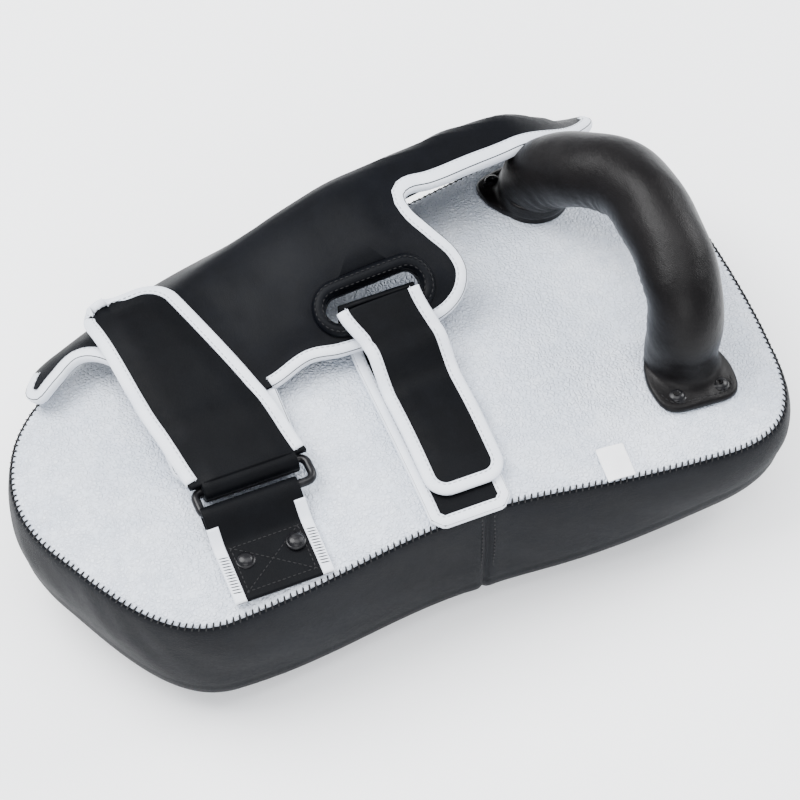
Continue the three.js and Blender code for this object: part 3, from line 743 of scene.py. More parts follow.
# ---------------------------------------------------------------- stitching
class StitchTree:
    """Geometry nodes that lay stitches along a line, turned to the surface."""

    INPUTS = (("Pitch", 0.003), ("Length", 0.002), ("Radius", 0.0004), ("Across", 0.0),
              ("Dip", 0.0))

    def __init__(self, wardrobe: Wardrobe) -> None:
        """Build the shared tree."""
        self.wardrobe = wardrobe
        self.tree = bpy.data.node_groups.new("stitch_row", "GeometryNodeTree")
        face = self.tree.interface
        face.new_socket("Geometry", in_out="INPUT", socket_type="NodeSocketGeometry")
        for name, value in self.INPUTS:
            face.new_socket(name, in_out="INPUT", socket_type="NodeSocketFloat").default_value = value
        face.new_socket("Thread", in_out="INPUT", socket_type="NodeSocketMaterial")
        face.new_socket("Geometry", in_out="OUTPUT", socket_type="NodeSocketGeometry")
        self._wire()

    def _node(self, kind: str, **settings: object) -> bpy.types.Node:
        """Add one node with its settings."""
        made = self.tree.nodes.new(kind)
        for key, value in settings.items():
            setattr(made, key, value)
        return made

    def _wire(self) -> None:
        """Lay out the nodes: resample, place a thread bead, turn it, realize."""
        link = self.tree.links.new
        start = self._node("NodeGroupInput")
        end = self._node("NodeGroupOutput")
        curve = self._node("GeometryNodeMeshToCurve")
        even = self._node("GeometryNodeResampleCurve", mode="LENGTH")
        bead = self._node("GeometryNodeMeshUVSphere")
        bead.inputs["Segments"].default_value = 7
        bead.inputs["Rings"].default_value = 5
        bead.inputs["Radius"].default_value = 1.0
        size = self._node("ShaderNodeCombineXYZ")
        half = self._node("ShaderNodeMath", operation="MULTIPLY")
        half.inputs[1].default_value = 0.5
        shape = self._node("GeometryNodeTransform")
        lay = self._node("GeometryNodeInstanceOnPoints")
        way = self._node("GeometryNodeInputTangent")
        up = self._node("GeometryNodeInputNamedAttribute", data_type="FLOAT_VECTOR")
        up.inputs["Name"].default_value = "up"
        first = self._node("FunctionNodeAlignRotationToVector", axis="X")
        second = self._node("FunctionNodeAlignRotationToVector", axis="Z", pivot_axis="X")
        turn = self._node("FunctionNodeRotateRotation", rotation_space="LOCAL")
        twist = self._node("FunctionNodeEulerToRotation")
        euler = self._node("ShaderNodeCombineXYZ")
        real = self._node("GeometryNodeRealizeInstances")
        paint = self._node("GeometryNodeSetMaterial")
        link(start.outputs["Geometry"], curve.inputs["Mesh"])
        link(curve.outputs["Curve"], even.inputs["Curve"])
        link(start.outputs["Pitch"], even.inputs["Length"])
        link(start.outputs["Length"], half.inputs[0])
        link(half.outputs[0], size.inputs["X"])
        link(start.outputs["Radius"], size.inputs["Y"])
        link(start.outputs["Radius"], size.inputs["Z"])
        link(bead.outputs["Mesh"], shape.inputs["Geometry"])
        link(size.outputs[0], shape.inputs["Scale"])
        link(even.outputs["Curve"], lay.inputs["Points"])
        link(shape.outputs["Geometry"], lay.inputs["Instance"])
        link(way.outputs[0], first.inputs["Vector"])
        link(first.outputs[0], second.inputs["Rotation"])
        link(up.outputs["Attribute"], second.inputs["Vector"])
        link(second.outputs[0], turn.inputs["Rotation"])
        link(start.outputs["Dip"], euler.inputs["Y"])
        link(start.outputs["Across"], euler.inputs["Z"])
        link(euler.outputs[0], twist.inputs["Euler"])
        link(twist.outputs[0], turn.inputs["Rotate By"])
        link(turn.outputs[0], lay.inputs["Rotation"])
        link(lay.outputs["Instances"], real.inputs["Geometry"])
        link(real.outputs["Geometry"], paint.inputs["Geometry"])
        link(start.outputs["Thread"], paint.inputs["Material"])
        link(paint.outputs["Geometry"], end.inputs["Geometry"])

    def sew(self, name: str, rows: Sequence[tuple[Array, Array]], thread: Palette, pitch: float,
            length: float, radius: float, across: float = 0.0,
            dip: float = 0.0) -> bpy.types.Object:
        """Stitches along one or more rows, as a plain mesh.

        Args:
            name: Name of the piece.
            rows: Pairs of points and normals in millimetres.
            thread: Thread finish.
            pitch: Distance between stitches, mm.
            length: Length of a stitch, mm.
            radius: Thread radius, mm.
            across: Turn away from the row's direction, degrees.
            dip: Tilt of each stitch, degrees.

        Returns:
            The stitches.
        """
        points = np.vstack([row[0] for row in rows]) * MM
        normals = np.vstack([row[1] for row in rows])
        edges, count = [], 0
        for row, _ in rows:
            edges += [(count + i, count + i + 1) for i in range(len(row) - 1)]
            count += len(row)
        mesh = bpy.data.meshes.new(name)
        mesh.from_pydata(points.tolist(), edges, [])
        up = mesh.attributes.new("up", "FLOAT_VECTOR", "POINT")
        up.data.foreach_set("vector", normals.astype(np.float32).ravel())
        guide = bpy.data.objects.new(name, mesh)
        bpy.context.scene.collection.objects.link(guide)
        modifier = guide.modifiers.new("stitches", "NODES")
        modifier.node_group = self.tree
        wanted = {"Pitch": pitch * MM, "Length": length * MM, "Radius": radius * MM,
                  "Across": math.radians(across), "Dip": math.radians(dip),
                  "Thread": self.wardrobe.get(thread)}
        for item in self.tree.interface.items_tree:
            if item.in_out == "INPUT" and item.name in wanted:
                modifier[item.identifier] = wanted[item.name]
        graph = bpy.context.evaluated_depsgraph_get()
        baked = bpy.data.meshes.new_from_object(guide.evaluated_get(graph))
        bpy.data.objects.remove(guide, do_unlink=True)
        baked.materials.clear()
        baked.materials.append(self.wardrobe.get(thread))
        baked.shade_smooth()
        row = bpy.data.objects.new(name, baked)
        bpy.context.scene.collection.objects.link(row)
        return row


# ---------------------------------------------------------------- forms shared by the pieces
@dataclass(frozen=True)
class PadForm:
    """Outline and surfaces of the pad itself, in millimetres."""

    half_length: float = 195.0
    half_width: float = 101.0
    waist: float = 9.0
    thickness: float = 84.0
    elbow_drop: float = 5.0
    handle_drop: float = 11.0
    crown: float = 7.0
    handle_rise: float = 17.0
    elbow_rise: float = 13.0

    def seam(self, x: Array) -> Array:
        """Height of the seam round the back."""
        drop = self.elbow_drop * (1 - smooth(x, -205, -40)) + self.handle_drop * smooth(x, 10, 205)
        return self.thickness - drop

    def panel(self, x: Array, y: Array) -> Array:
        """Height of the crowned back."""
        edge = np.where(np.asarray(y) > 0, self.sewn_edge(x), self.half_width)
        reach = (np.abs(x / self.half_length) ** 4 + np.abs(y / edge) ** 4) ** 0.25
        return self.seam(x) + self.crown * (1 - reach**3)

    @staticmethod
    def sewn_edge(x: Array) -> Array:
        """How far the pad reaches out on the side where the cuff is sewn on."""
        return 97.5 - 40 * smooth(-np.asarray(x), 30, 205) ** 1.3 + 19.5 * smooth(x, 20, 135)

    def sole(self, x: Array) -> Array:
        """Height of the striking face, which lifts towards both ends."""
        return self.handle_rise * smooth(x, 45, 220) + self.elbow_rise * smooth(-np.asarray(x), 85,
                                                                                225)

    def outline(self, spacing: float = 2.5) -> Array:
        """Plan outline, anticlockwise and evenly spaced."""
        a, b, w = self.half_length, self.half_width, self.waist
        start = (5.0, -b + w)
        spans = [
            ((50, -b + w), (70, -b), (140, -b)), ((178, -b), (a - 5, -b + 16), (a - 3, -b + 54)),
            ((a, -20), (a, 20), (a - 3, 47)), ((a - 3, 98), (178, 117), (140, 117)),
            ((100, 117), (60, 97), (5, 97)), ((-35, 97), (-70, 97), (-100, 87)),
            ((-128, 78), (-166, 66), (-184, 38)), ((-199, 14), (-199, -10), (-185, -36)),
            ((-172, -62), (-155, -b), (-120, -b)), ((-60, -b), (-40, -b + w), (5, -b + w)),
        ]
        points = []
        t = np.linspace(0, 1, 40, endpoint=False)[:, None]
        here = np.array(start, float)
        for first, second, last in spans:
            p, q, r = (np.array(v, float) for v in (first, second, last))
            s = 1 - t
            points.append(s**3 * here + 3 * s**2 * t * p + 3 * s * t**2 * q + t**3 * r)
            here = r
        return resample(np.vstack(points), spacing, closed=True)


@dataclass(frozen=True)
class CuffForm:
    """Domed surface and plan of the forearm cuff, in millimetres."""

    root_gap: float = 1.5
    free: float = 5.0
    root_z: float = 88.0
    free_z: float = 100.5
    half: float = 4.1
    binding: float = 5.8
    slot: tuple[float, float, float, float] = (5.0, 30.0, 50.0, 13.0)
    rim: float = 7.0
    knots: tuple[tuple[float, float], ...] = (
        (-150, 70), (-162, 65), (-169, 56), (-165, 48), (-154, 52), (-141, 58), (-130, 50),
        (-120, 27), (-118, 5), (-104, 4), (-70, 4), (-56, 6), (-36, 12), (-21, 10), (-5, 9.5),
        (11, 9.4), (28, 10), (41, 13.5), (50, 20), (54.5, 29), (53, 39), (45.5, 50), (39.5, 59),
        (39, 65), (44, 67.4), (55, 67.4), (70, 69), (85, 71.5), (108, 76.5), (134, 87), (152, 100),
        (163, 111), (160, 117), (150, 118.5), (140, 118.5), (110, 116), (78, 109), (45, 101.5),
        (5, 99), (-30, 99), (-60, 97.6), (-100, 88.7), (-125, 80),
    )

    def height(self, x: Array, y: Array) -> Array:
        """Height of the middle of the cuff's thickness."""
        x, y = np.asarray(x, float), np.asarray(y, float)
        root = PadForm.sewn_edge(x) + self.root_gap
        run = np.clip((root - y) / (root - self.free), 0, 1)
        bulge = 4 + 9 * smooth(x, -175, -115) + 19 * smooth(x, -95, 35) - 28 * smooth(x, 105, 176)
        crest = 2.2 * smooth(x, -60, -10) * (1 - smooth(x, 30, 75))
        dip = 1.0 * smooth(x, 70, 95) * (1 - smooth(x, 115, 150))
        bulge += crest - dip
        end_drop = 13 * smooth(-x, 146, 184) ** 1.5
        root_z = self.root_z - 8 * smooth(x, 40, 165)
        return mix(root_z, self.free_z, run) + bulge * np.sin(np.pi * run**0.55) - end_drop

    def offset(self, distance: float) -> Height:
        """Height of a layer a given distance above the middle."""

        def layer(x: Array, y: Array) -> Array:
            """Height of that layer."""
            slope_x = (self.height(x + 1, y) - self.height(x - 1, y)) / 2
            slope_y = (self.height(x, y + 1) - self.height(x, y - 1)) / 2
            return self.height(x, y) + distance * np.minimum(1.8,
                                                             np.sqrt(1 + slope_x**2 + slope_y**2))

        return layer

    @staticmethod
    def lean(points: Array) -> Array:
        """Lean of the raised parts towards the sewn side."""
        along = smooth(points[:, 0], -120, 30) * (1 - 0.6 * smooth(points[:, 0], 70, 150))
        shift = 16 * along * smooth(points[:, 2], 92, 130) * smooth(points[:, 1], 30, 100)
        return points + np.column_stack([np.zeros(len(points)), shift, np.zeros(len(points))])


PAD = PadForm()
CUFF = CuffForm()
PAD_BODY, CUFF_BODY, RING_BODY = "pad", "cuff", "strap_ring"
FOREARM_BODY, WRIST_BODY, HANDLE_BODY = "forearm_strap", "wrist_strap", "handle"


def ripple(points: Array, size: float, seed: float) -> Array:
    """Fixed smooth ripple of height about one, from a few crossed waves."""
    x, y = points[:, 0] / size, points[:, 1] / size
    z = points[:, 2] / size if points.shape[1] > 2 else 0.0
    waves = np.sin(6.1 * x + 2.3 * y + 3.1 * z + seed)
    waves = waves + np.sin(-3.4 * x + 5.2 * y - 2.2 * z + 1.7 * seed)
    return (waves + np.sin(2.2 * x - 7.3 * y + 4.6 * z + 2.9 * seed)) / 3


@dataclass
class SubAssembly:
    """What every sub-assembly shares: the finishes, the stitcher and a log of pieces."""

    wardrobe: Wardrobe
    stitcher: StitchTree

    def keep(self, piece: bpy.types.Object, finish: Palette, slot: str, body: str | None,
             *nodes: str) -> bpy.types.Object:
        """Dress a piece, set its body and hide the nodes that it stands for.

        Args:
            piece: Piece to keep.
            finish: Its finish.
            slot: The record's material slot; not used.
            body: Body that it rides on, or None to leave it unattached.
            nodes: Frame nodes that it replaces.

        Returns:
            The piece.
        """
        self.wardrobe.dress(piece, finish, slot)
        if body:
            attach(piece, body)
        if nodes:
            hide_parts(*nodes)
        LOG.info("%s: %d faces", piece.name, len(piece.data.polygons))
        return piece


# ---------------------------------------------------------------- the pad
@dataclass
class PadBody(SubAssembly):
    """Crowned white back, black side wall and striking face, with their seams."""

    leather: float = 2.4
    round_radius: float = 21.0
    end_radius: float = 7.5
    face_inset: float = 43.0
    bulge: float = 2.2
    mid_seam: float = 15.0
    tooth_pitch: float = 3.3

    def build(self) -> None:
        """Make the three covers and their stitching."""
        self._back()
        self._side()
        self._face()
        self._teeth()

    def _back(self) -> None:
        """Crowned back panel, rolled down into its seam."""
        edge = PAD.outline(2.6)
        edge = edge + inward(edge) * 0.9
        region = Region(edge, 6.5)
        surface = SoftSurface(PAD.panel)
        roll = 1.9 * (1 - np.sqrt(np.clip(1 - (1 - np.minimum(region.depth / 4.5, 1)) ** 2, 0, 1)))
        soft = 0.45 * ripple(region.points, 60.0, 0.4) * smooth(region.depth, 4, 30)
        pulled = 0.28 * np.sin(region.points[:, 0] * 0.62 + region.points[:, 1] * 0.55)
        pulled = pulled * np.exp(-((region.depth - 5) / 4) ** 2)
        piece = surface.panel("back_cover", region, soft + pulled - roll,
                              np.full(len(region.points), self.leather))
        self.keep(piece, Palette.BACK, "white_leather", PAD_BODY, "back_panel")

    def _side(self) -> None:
        """Side wall with a slight belly, rounded under to the striking face."""
        edge = PAD.outline(2.2)
        close = edge[np.abs(edge[:, 0] - self.mid_seam) < 8]
        extra = [p for p in close + np.array([1.1, 0.0])]
        edge = self._with_extra(edge, extra)
        into = inward(edge)
        x = edge[:, 0]
        radius = self.round_radius + self.end_radius * (smooth(-x, 135, 198) + smooth(x, 25, 140))
        top, low = PAD.panel(x, edge[:, 1]) - 1.6, PAD.sole(x)
        loops = []
        for depth in (2.4, 1.2, 0.5):
            loops.append((depth, top + 0.4 - 0.25 * depth))
        wall = np.linspace(0.02, 1.0, 26)
        for share in wall:
            belly = self.bulge * math.sin(math.pi * share) ** 0.8 - 0.5 * math.exp(-share / 0.03)
            loops.append((-belly, mix(top, low + radius, share)))
        for turn in np.linspace(0.1, math.pi / 2, 14):
            depth = np.minimum(radius * (1 - math.cos(turn)), self.face_inset - 0.6)
            loops.append((depth, low + radius * (1 - math.sin(turn))))
        loops.append((self.face_inset - 0.4, low + 0.1))
        groove = np.exp(-((x - self.mid_seam) / 1.3) ** 2)
        swell = np.exp(-(((np.abs(x - self.mid_seam)) - 4.5) / 3.5) ** 2)
        outer = []
        for row, (depth, z) in enumerate(loops):
            share = row / len(loops)
            spots = np.column_stack([edge + into * np.reshape(depth, (-1, 1)), z])
            dent = 1.5 * groove - 0.35 * swell
            dent = dent + 0.30 * np.sin(edge[:, 0] * 0.75 + edge[:, 1] * 0.6) * math.exp(-share / 0.06)
            dent = dent + 0.75 * ripple(spots, 70.0, 2.0) * math.sin(math.pi * min(1, share * 1.4)) ** 2
            dent = dent + 0.22 * ripple(spots, 21.0, 5.0) * math.sin(math.pi * min(1, share * 1.4))
            spots[:, :2] += into * dent[:, None]
            outer.append(spots)
        inner = []
        for row in range(len(loops) - 1, -1, -3):
            depth, z = loops[row]
            inset = np.minimum(np.reshape(depth, (-1, 1)) + self.leather + 1.0, self.face_inset + 2)
            lift = np.minimum(z + 1.2 + self.leather * smooth(row, 26, 40), top - 1.0)
            inner.append(np.column_stack([edge + into * inset, lift]))
        piece = skin("side_cover", outer + inner, ring=True)
        self.keep(piece, Palette.SIDE, "black_leather", PAD_BODY, "gusset_elbow", "gusset_handle")

    @staticmethod
    def _with_extra(edge: Array, extra: Sequence[Array]) -> Array:
        """Add points that lie between neighbours of an outline, keeping its order."""
        out = []
        for a, b in zip(edge, np.roll(edge, -1, axis=0)):
            out.append(a)
            if any(min(a[0], b[0]) < spot[0] < max(a[0], b[0]) for spot in extra):
                out.append((a + b) / 2)
        return np.array(out)

    def _face(self) -> None:
        """Striking face let into the underside."""
        edge = PAD.outline(4.0)
        edge = edge + inward(edge) * self.face_inset
        region = Region(edge, 11.0)
        surface = SoftSurface(lambda x, y: PAD.sole(x) + 0.0 * y)
        lower = 0.0 - 0.9 * (1 - smooth(region.depth, 0, 5))
        piece = surface.panel("striking_cover", region, np.full(len(region.points), self.leather),
                              lower)
        self.keep(piece, Palette.SIDE, "black_leather", PAD_BODY, "striking_face")

    def _teeth(self) -> None:
        """Overedge stitches round the back and the seam rows."""
        edge = PAD.outline(2.0)
        into = inward(edge)
        ring = np.vstack([edge, edge[:1]])
        facing = np.vstack([into, into[:1]])
        spots = np.column_stack([ring + facing * 1.3, PAD.panel(ring[:, 0], ring[:, 1]) - 0.7])
        up = unit(np.column_stack([-facing * 0.75, np.full(len(ring), 0.85)]))
        teeth = self.stitcher.sew("overedge_stitches", [(spots, up)], Palette.BLACK_THREAD,
                                  self.tooth_pitch, 4.6, 0.55, across=78.0, dip=0.0)
        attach(teeth, PAD_BODY)
        wall = []
        for side in (-1, 1):
            for shift in (-3.2, 3.2):
                x = self.mid_seam + shift
                outline = edge[np.sign(edge[:, 1]) == side]
                near = outline[np.argmin(np.abs(outline[:, 0] - x))]
                z = np.linspace(28, float(PAD.seam(x)) - 4, 30)
                share = (PAD.seam(x) - z) / (PAD.seam(x) - 26)
                out = self.bulge * np.sin(np.pi * np.clip(share, 0.001, 0.999)) ** 0.8 + 0.15
                line = np.column_stack([np.full(30, x), near[1] + side * out, z])
                wall.append((line, np.tile([0.0, float(side), 0.0], (30, 1))))
        rows = self.stitcher.sew("side_seam_stitches", wall, Palette.BLACK_THREAD, 3.2, 2.3, 0.35)
        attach(rows, PAD_BODY)
        LOG.info("pad stitching done")


# ---------------------------------------------------------------- the cuff
@dataclass
class Cuff(SubAssembly):
    """Padded forearm cuff with its white binding, stitches and strap slot."""

    edge_half: float = 3.0
    puff_up: float = 5.6
    puff_down: float = 4.4
    pressure: float = 3.0
    cap: float = 1.6
    frames: int = 20

    def build(self) -> None:
        """Make the cuff and everything sewn to it."""
        surface = SoftSurface(CUFF.height, CUFF.lean)
        outline = resample(catmull(CUFF.knots, closed=True), 2.6, closed=True)
        hole = oblong(*CUFF.slot)
        region = Region(outline, 4.6, [hole], rings=(1.0, 2.4, 4.2, 6.4, 9.5))
        edge_gap = edge_distance(region.points, outline)
        slot_gap = edge_distance(region.points, hole)
        rise = smooth(edge_gap, CUFF.binding - 0.8, 21) * smooth(slot_gap, -2, 14)
        root = PadForm.sewn_edge(region.points[:, 0]) + CUFF.root_gap
        sewn = smooth(root - region.points[:, 1], 1.5, 12)
        upper = mix(self.edge_half - 0.4, self.puff_up, rise * sewn)
        upper = upper + 0.5 * ripple(region.points, 34.0, 1.1) * rise
        lower = mix(self.edge_half - 0.4, self.puff_down, rise * sewn)
        pad = surface.panel("cuff_pad", region, upper, lower)
        self._inflate(pad)
        self.keep(pad, Palette.CUFF, "cuff_leather", CUFF_BODY, "cuff_outer", "cuff_padding",
                  "cuff_lining")
        self._binding(surface, outline)
        self._slot(surface)

    def _inflate(self, pad: bpy.types.Object) -> None:
        """Let air pressure round the padding, held at its sewn edges.

        Args:
            pad: The cuff panel, changed in place.
        """
        mesh = pad.data
        rest = np.empty(len(mesh.vertices) * 3)
        mesh.vertices.foreach_get("co", rest)
        rest = rest.reshape(-1, 3)
        plan = rest[:, :2] / MM
        plan_edge = resample(catmull(CUFF.knots, closed=True), 4.0, closed=True)
        leaning = CUFF.lean(np.column_stack([plan_edge,
                                             CUFF.height(plan_edge[:, 0], plan_edge[:, 1])]))
        gap = np.minimum(edge_distance(plan, leaning[:, :2]),
                         edge_distance(plan, oblong(*CUFF.slot)) - 6)
        group = pad.vertex_groups.new(name="sewn")
        for index in np.nonzero(gap < 8.0)[0]:
            group.add([int(index)], 1.0, "REPLACE")
        cloth = pad.modifiers.new("cloth", "CLOTH")
        settings = cloth.settings
        settings.vertex_group_mass = "sewn"
        settings.use_pressure = True
        settings.uniform_pressure_force = self.pressure
        settings.tension_stiffness = 25
        settings.compression_stiffness = 25
        settings.bending_stiffness = 0.8
        settings.effector_weights.gravity = 0.0
        settings.quality = 6
        settings.mass = 0.4
        cloth.collision_settings.use_collision = False
        cloth.collision_settings.use_self_collision = False
        cloth.point_cache.frame_start = 1
        cloth.point_cache.frame_end = self.frames
        scene = bpy.context.scene
        for frame in range(1, self.frames + 1):
            scene.frame_set(frame)
        graph = bpy.context.evaluated_depsgraph_get()
        posed = pad.evaluated_get(graph).to_mesh()
        moved = np.empty(len(posed.vertices) * 3)
        posed.vertices.foreach_get("co", moved)
        pad.evaluated_get(graph).to_mesh_clear()
        shift = moved.reshape(-1, 3) - rest
        length = np.linalg.norm(shift, axis=1, keepdims=True)
        limit = self.cap * MM
        shift = shift * np.minimum(1.0, limit / np.maximum(length, 1e-9))
        pad.modifiers.remove(cloth)
        pad.vertex_groups.clear()
        scene.frame_set(1)
        mesh.vertices.foreach_set("co", (rest + shift).ravel())
        mesh.update()
        LOG.info("cuff cloth: moved up to %.2f mm", float(length.max() / MM))

    def _binding(self, surface: SoftSurface, outline: Array) -> None:
        """White tape folded over the free edges, in one run open where the tongue is sewn."""
        y = outline[:, 1]
        x = outline[:, 0]
        root = PadForm.sewn_edge(x) + CUFF.root_gap
        bare = ((y > root - 3.5) & (x > -160) & (x < 160)) | ((np.abs(x + 87) < 27) & (y < 6.5))
        start = int(np.argmax(bare & ~np.roll(bare, -1)))
        order = np.roll(np.arange(len(outline)), -start - 1)
        runs: list[list[int]] = [[]]
        for index in order:
            if bare[index]:
                if runs[-1]:
                    runs.append([])
            else:
                runs[-1].append(int(index))
        section = binding_section(CUFF.binding, self.edge_half)
        strips, rows = [], []
        for run in (r for r in runs if len(r) > 6):
            path = outline[run]
            strips.append(surface.edging("strip", path, section, closed=False))
            for depth in (CUFF.binding - 1.3,):
                rows.append(surface.line(path, self.edge_half + 0.2, depth))
                spots, up = surface.line(path, -self.edge_half - 0.2, depth)
                rows.append((spots, -up))
        self.keep(merge("cuff_edge_tape", strips), Palette.BINDING, "white_binding", CUFF_BODY,
                  "cuff_binding")
        row = self.stitcher.sew("cuff_tape_stitches", rows, Palette.GREY_THREAD, 2.7, 1.9, 0.27)
        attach(row, CUFF_BODY)

    def _slot(self, surface: SoftSurface) -> None:
        """Raised oblong of padded leather round the strap slot."""
        x, y, length, width = CUFF.slot
        grow = 2 * CUFF.rim
        path = oblong(x, y, length + grow, width + grow, 26)
        path = resample(path, 2.2, closed=True)
        ring = CUFF.rim
        section = np.array([
            (0.0, 1.2), (0.3, 4.6), (1.2, 6.3), (ring * 0.35, 7.3), (ring * 0.65, 7.4),
            (ring - 0.9, 6.6), (ring - 0.2, 5.0), (ring + 0.1, 2.0), (ring + 0.1, -3.4),
            (ring - 2.5, -3.6), (ring - 3.0, 0.8),
        ])
        piece = surface.edging("slot_rim_pad", path, section, closed=True)
        self.keep(piece, Palette.CUFF, "cuff_leather", CUFF_BODY, "slot_rim")
        closed = np.vstack([path, path[:1]])
        rows = [surface.line(closed, 7.4, 2.0), surface.line(closed, 7.0, ring - 1.3)]
        row = self.stitcher.sew("slot_rim_stitches", rows, Palette.BLACK_THREAD, 2.8, 2.0, 0.27)
        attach(row, CUFF_BODY)


# ---------------------------------------------------------------- straps
def ribbon(name: str, centre: Array, across: Array, half_width: Array | float, half: Array | float,
           corner: float = 1.0) -> bpy.types.Object:
    """Flat strap along a path, with softened edges.

    Args:
        name: Name of the piece.
        centre: Middle of the strap, one point a row.
        across: Unit vectors across the strap.
        half_width: Half width at each point.
        half: Half thickness at each point.
        corner: How much the section's corners are rounded off.

    Returns:
        The strap.
    """
    count = len(centre)
    along = unit(np.gradient(centre, axis=0))
    normal = unit(np.cross(along, across))
    widths = np.broadcast_to(half_width, (count,))
    halves = np.broadcast_to(half, (count,))
    loops = []
    for spot, side, up, wide, thick in zip(centre, across, normal, widths, halves):
        flat = np.linspace(-wide + corner, wide - corner, 13)
        turn = np.linspace(math.pi / 2, -math.pi / 2, 7)[1:-1]
        right = [(wide - corner + corner * math.cos(t), thick * math.sin(t)) for t in turn]
        section = [(a, thick) for a in flat] + right + [(a, -thick) for a in flat[::-1]]
        section += [(-a, -b) for a, b in right]
        loops.append(np.array([spot + side * a + up * b for a, b in section]))
    return skin(name, loops, ring=False)


def arc(y: float, z: float, radius: float, start: float, end: float, count: int) -> Array:
    """Points (y, z) on an arc; 90 degrees is up and 180 is towards the near side."""
    turn = np.radians(np.linspace(start, end, count))
    return np.column_stack([y + radius * np.cos(turn), z + radius * np.sin(turn)])


@dataclass
class RingAnchor(SubAssembly):
    """Flat ring and the riveted strap that holds it to the back."""

    x: float = -87.0
    near_y: float = -50.0
    far_y: float = -36.0
    z: float = 97.6
    length: float = 62.0
    wire: float = 4.5
    left: float = -117.0
    right: float = -66.5
    end_y: float = -96.0
    ply: float = 1.7
    rivet_y: float = -76.0
    rivet_x: tuple[float, float] = (-104.5, -78.5)

    def build(self) -> None:
        """Make the ring, the anchor strap, its tapes, stitches and rivets."""
        half = self.length / 2 - self.wire / 2
        x0, x1, y0, y1 = self.x - half, self.x + half, self.near_y, self.far_y
        corner = 4.0
        path = []
        for cx, cy, start in ((x1 - corner, y0 + corner, -90), (x1 - corner, y1 - corner, 0),
                              (x0 + corner, y1 - corner, 90), (x0 + corner, y0 + corner, 180)):
            turn = np.radians(np.linspace(start, start + 90, 9))
            path += [(cx + corner * math.cos(t), cy + corner * math.sin(t), self.z) for t in turn]
        ring = tube("ring_wire", resample(np.array(path), 1.6, closed=True), self.wire / 2, 16,
                    closed=True)
        self.keep(ring, Palette.WIRE, "black_wire", RING_BODY, "ring")
        self._strap()
        self._rivets()

    def _path(self) -> Array:
        """Centre line (y, z): the upper ply, round the near bar, and back under it."""
        reach = self.wire / 2 + 0.4 + self.ply / 2
        middle = (self.left + self.right) / 2
        y = np.linspace(self.end_y, self.near_y - 2.0, 34)
        base = PAD.panel(np.full(len(y), middle), y) + 0.5 + self.ply * 1.55
        rise = mix(base, self.z + reach, smooth(y, -68, -49))
        loop = arc(self.near_y, self.z, reach, 90, -75, 12)
        back_y = np.linspace(self.near_y - 2.5, -66, 12)
        under = PAD.panel(np.full(len(back_y), middle), back_y) + 0.5 + self.ply * 0.5
        back = mix(under, self.z - reach, smooth(back_y, -62, -49))
        return np.vstack([np.column_stack([y, rise]), loop, np.column_stack([back_y, back])])

    def _strap(self) -> None:
        """Anchor strap with white side tapes and stitching."""
        path = resample(self._path(), 1.4, closed=False)
        middle = (self.left + self.right) / 2
        half = (self.right - self.left) / 2
        centre = np.column_stack([np.full(len(path), middle), path])
        across = np.tile([1.0, 0.0, 0.0], (len(path), 1))
        strap = ribbon("anchor_strap_leather", centre, across, half - 0.4, self.ply / 2)
        self.keep(strap, Palette.STRAP, "strap_leather", PAD_BODY, "anchor_strap")
        top = path[: int(len(path) * 0.54)]
        tapes = []
        for side in (-1, 1):
            spots = np.column_stack([np.full(len(top), middle + side * (half - 2.9)), top])
            tapes.append(ribbon("tape", spots, across[: len(top)], 3.1, self.ply / 2 + 0.55, 0.8))
        self.keep(merge("anchor_side_tapes", tapes), Palette.BINDING, "white_binding", PAD_BODY)
        self._stitches(middle, half)

    def _stitches(self, middle: float, half: float) -> None:
        """Bar tacks across the tapes, an X in a box and the thread rows."""
        def on_top(points: Sequence[tuple[float, float]], lift: float) -> tuple[Array, Array]:
            """Raise plan points onto the strap."""
            plan = resample(np.array(points, float), 1.2, closed=False)
            z = PAD.panel(np.full(len(plan), middle), plan[:, 1]) + 0.5 + self.ply * 1.55 + self.ply / 2 + lift
            return np.column_stack([plan, z]), np.tile([0.0, 0.0, 1.0], (len(plan), 1))

        left, right, near, far = middle - half + 8, middle + half - 8, -92.0, -68.0
        box = [(left, near), (right, near), (right, far), (left, far), (left, near)]
        rows = [on_top(box, 0.0), on_top([(left, near), (right, far)], 0.0),
                on_top([(left, far), (right, near)], 0.0)]
        rows += [on_top([(middle - half + 6.8, y), (middle + half - 6.8, y)], 0.0) for y in (-64.5,
                                                                                             -62.8)]
        thread = self.stitcher.sew("anchor_box_stitches", rows, Palette.BLACK_THREAD, 2.6, 2.1,
                                   0.33)
        tacks = []
        for side in (-1, 1):
            x = middle + side * (half - 2.9)
            tacks.append(on_top([(x, -91.0), (x, -72.0)], 0.45))
        bars = self.stitcher.sew("anchor_bar_tacks", tacks, Palette.BLACK_THREAD, 1.5, 5.4, 0.36,
                                 across=82.0)
        for row in (thread, bars):
            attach(row, PAD_BODY)

    def _rivets(self) -> None:
        """Two domed rivets with a flat washer edge."""
        heads = []
        for x in self.rivet_x:
            z = float(PAD.panel(np.array([x]), np.array([self.rivet_y]))[0]) + 0.5 + self.ply * 2.3
            heads.append(dome("rivet_head", (x, self.rivet_y, z), 5.0, 2.6))
        self.keep(merge("anchor_rivets", heads), Palette.RIVET, "black_rivet", PAD_BODY,
                  "rivet_elbow", "rivet_handle")


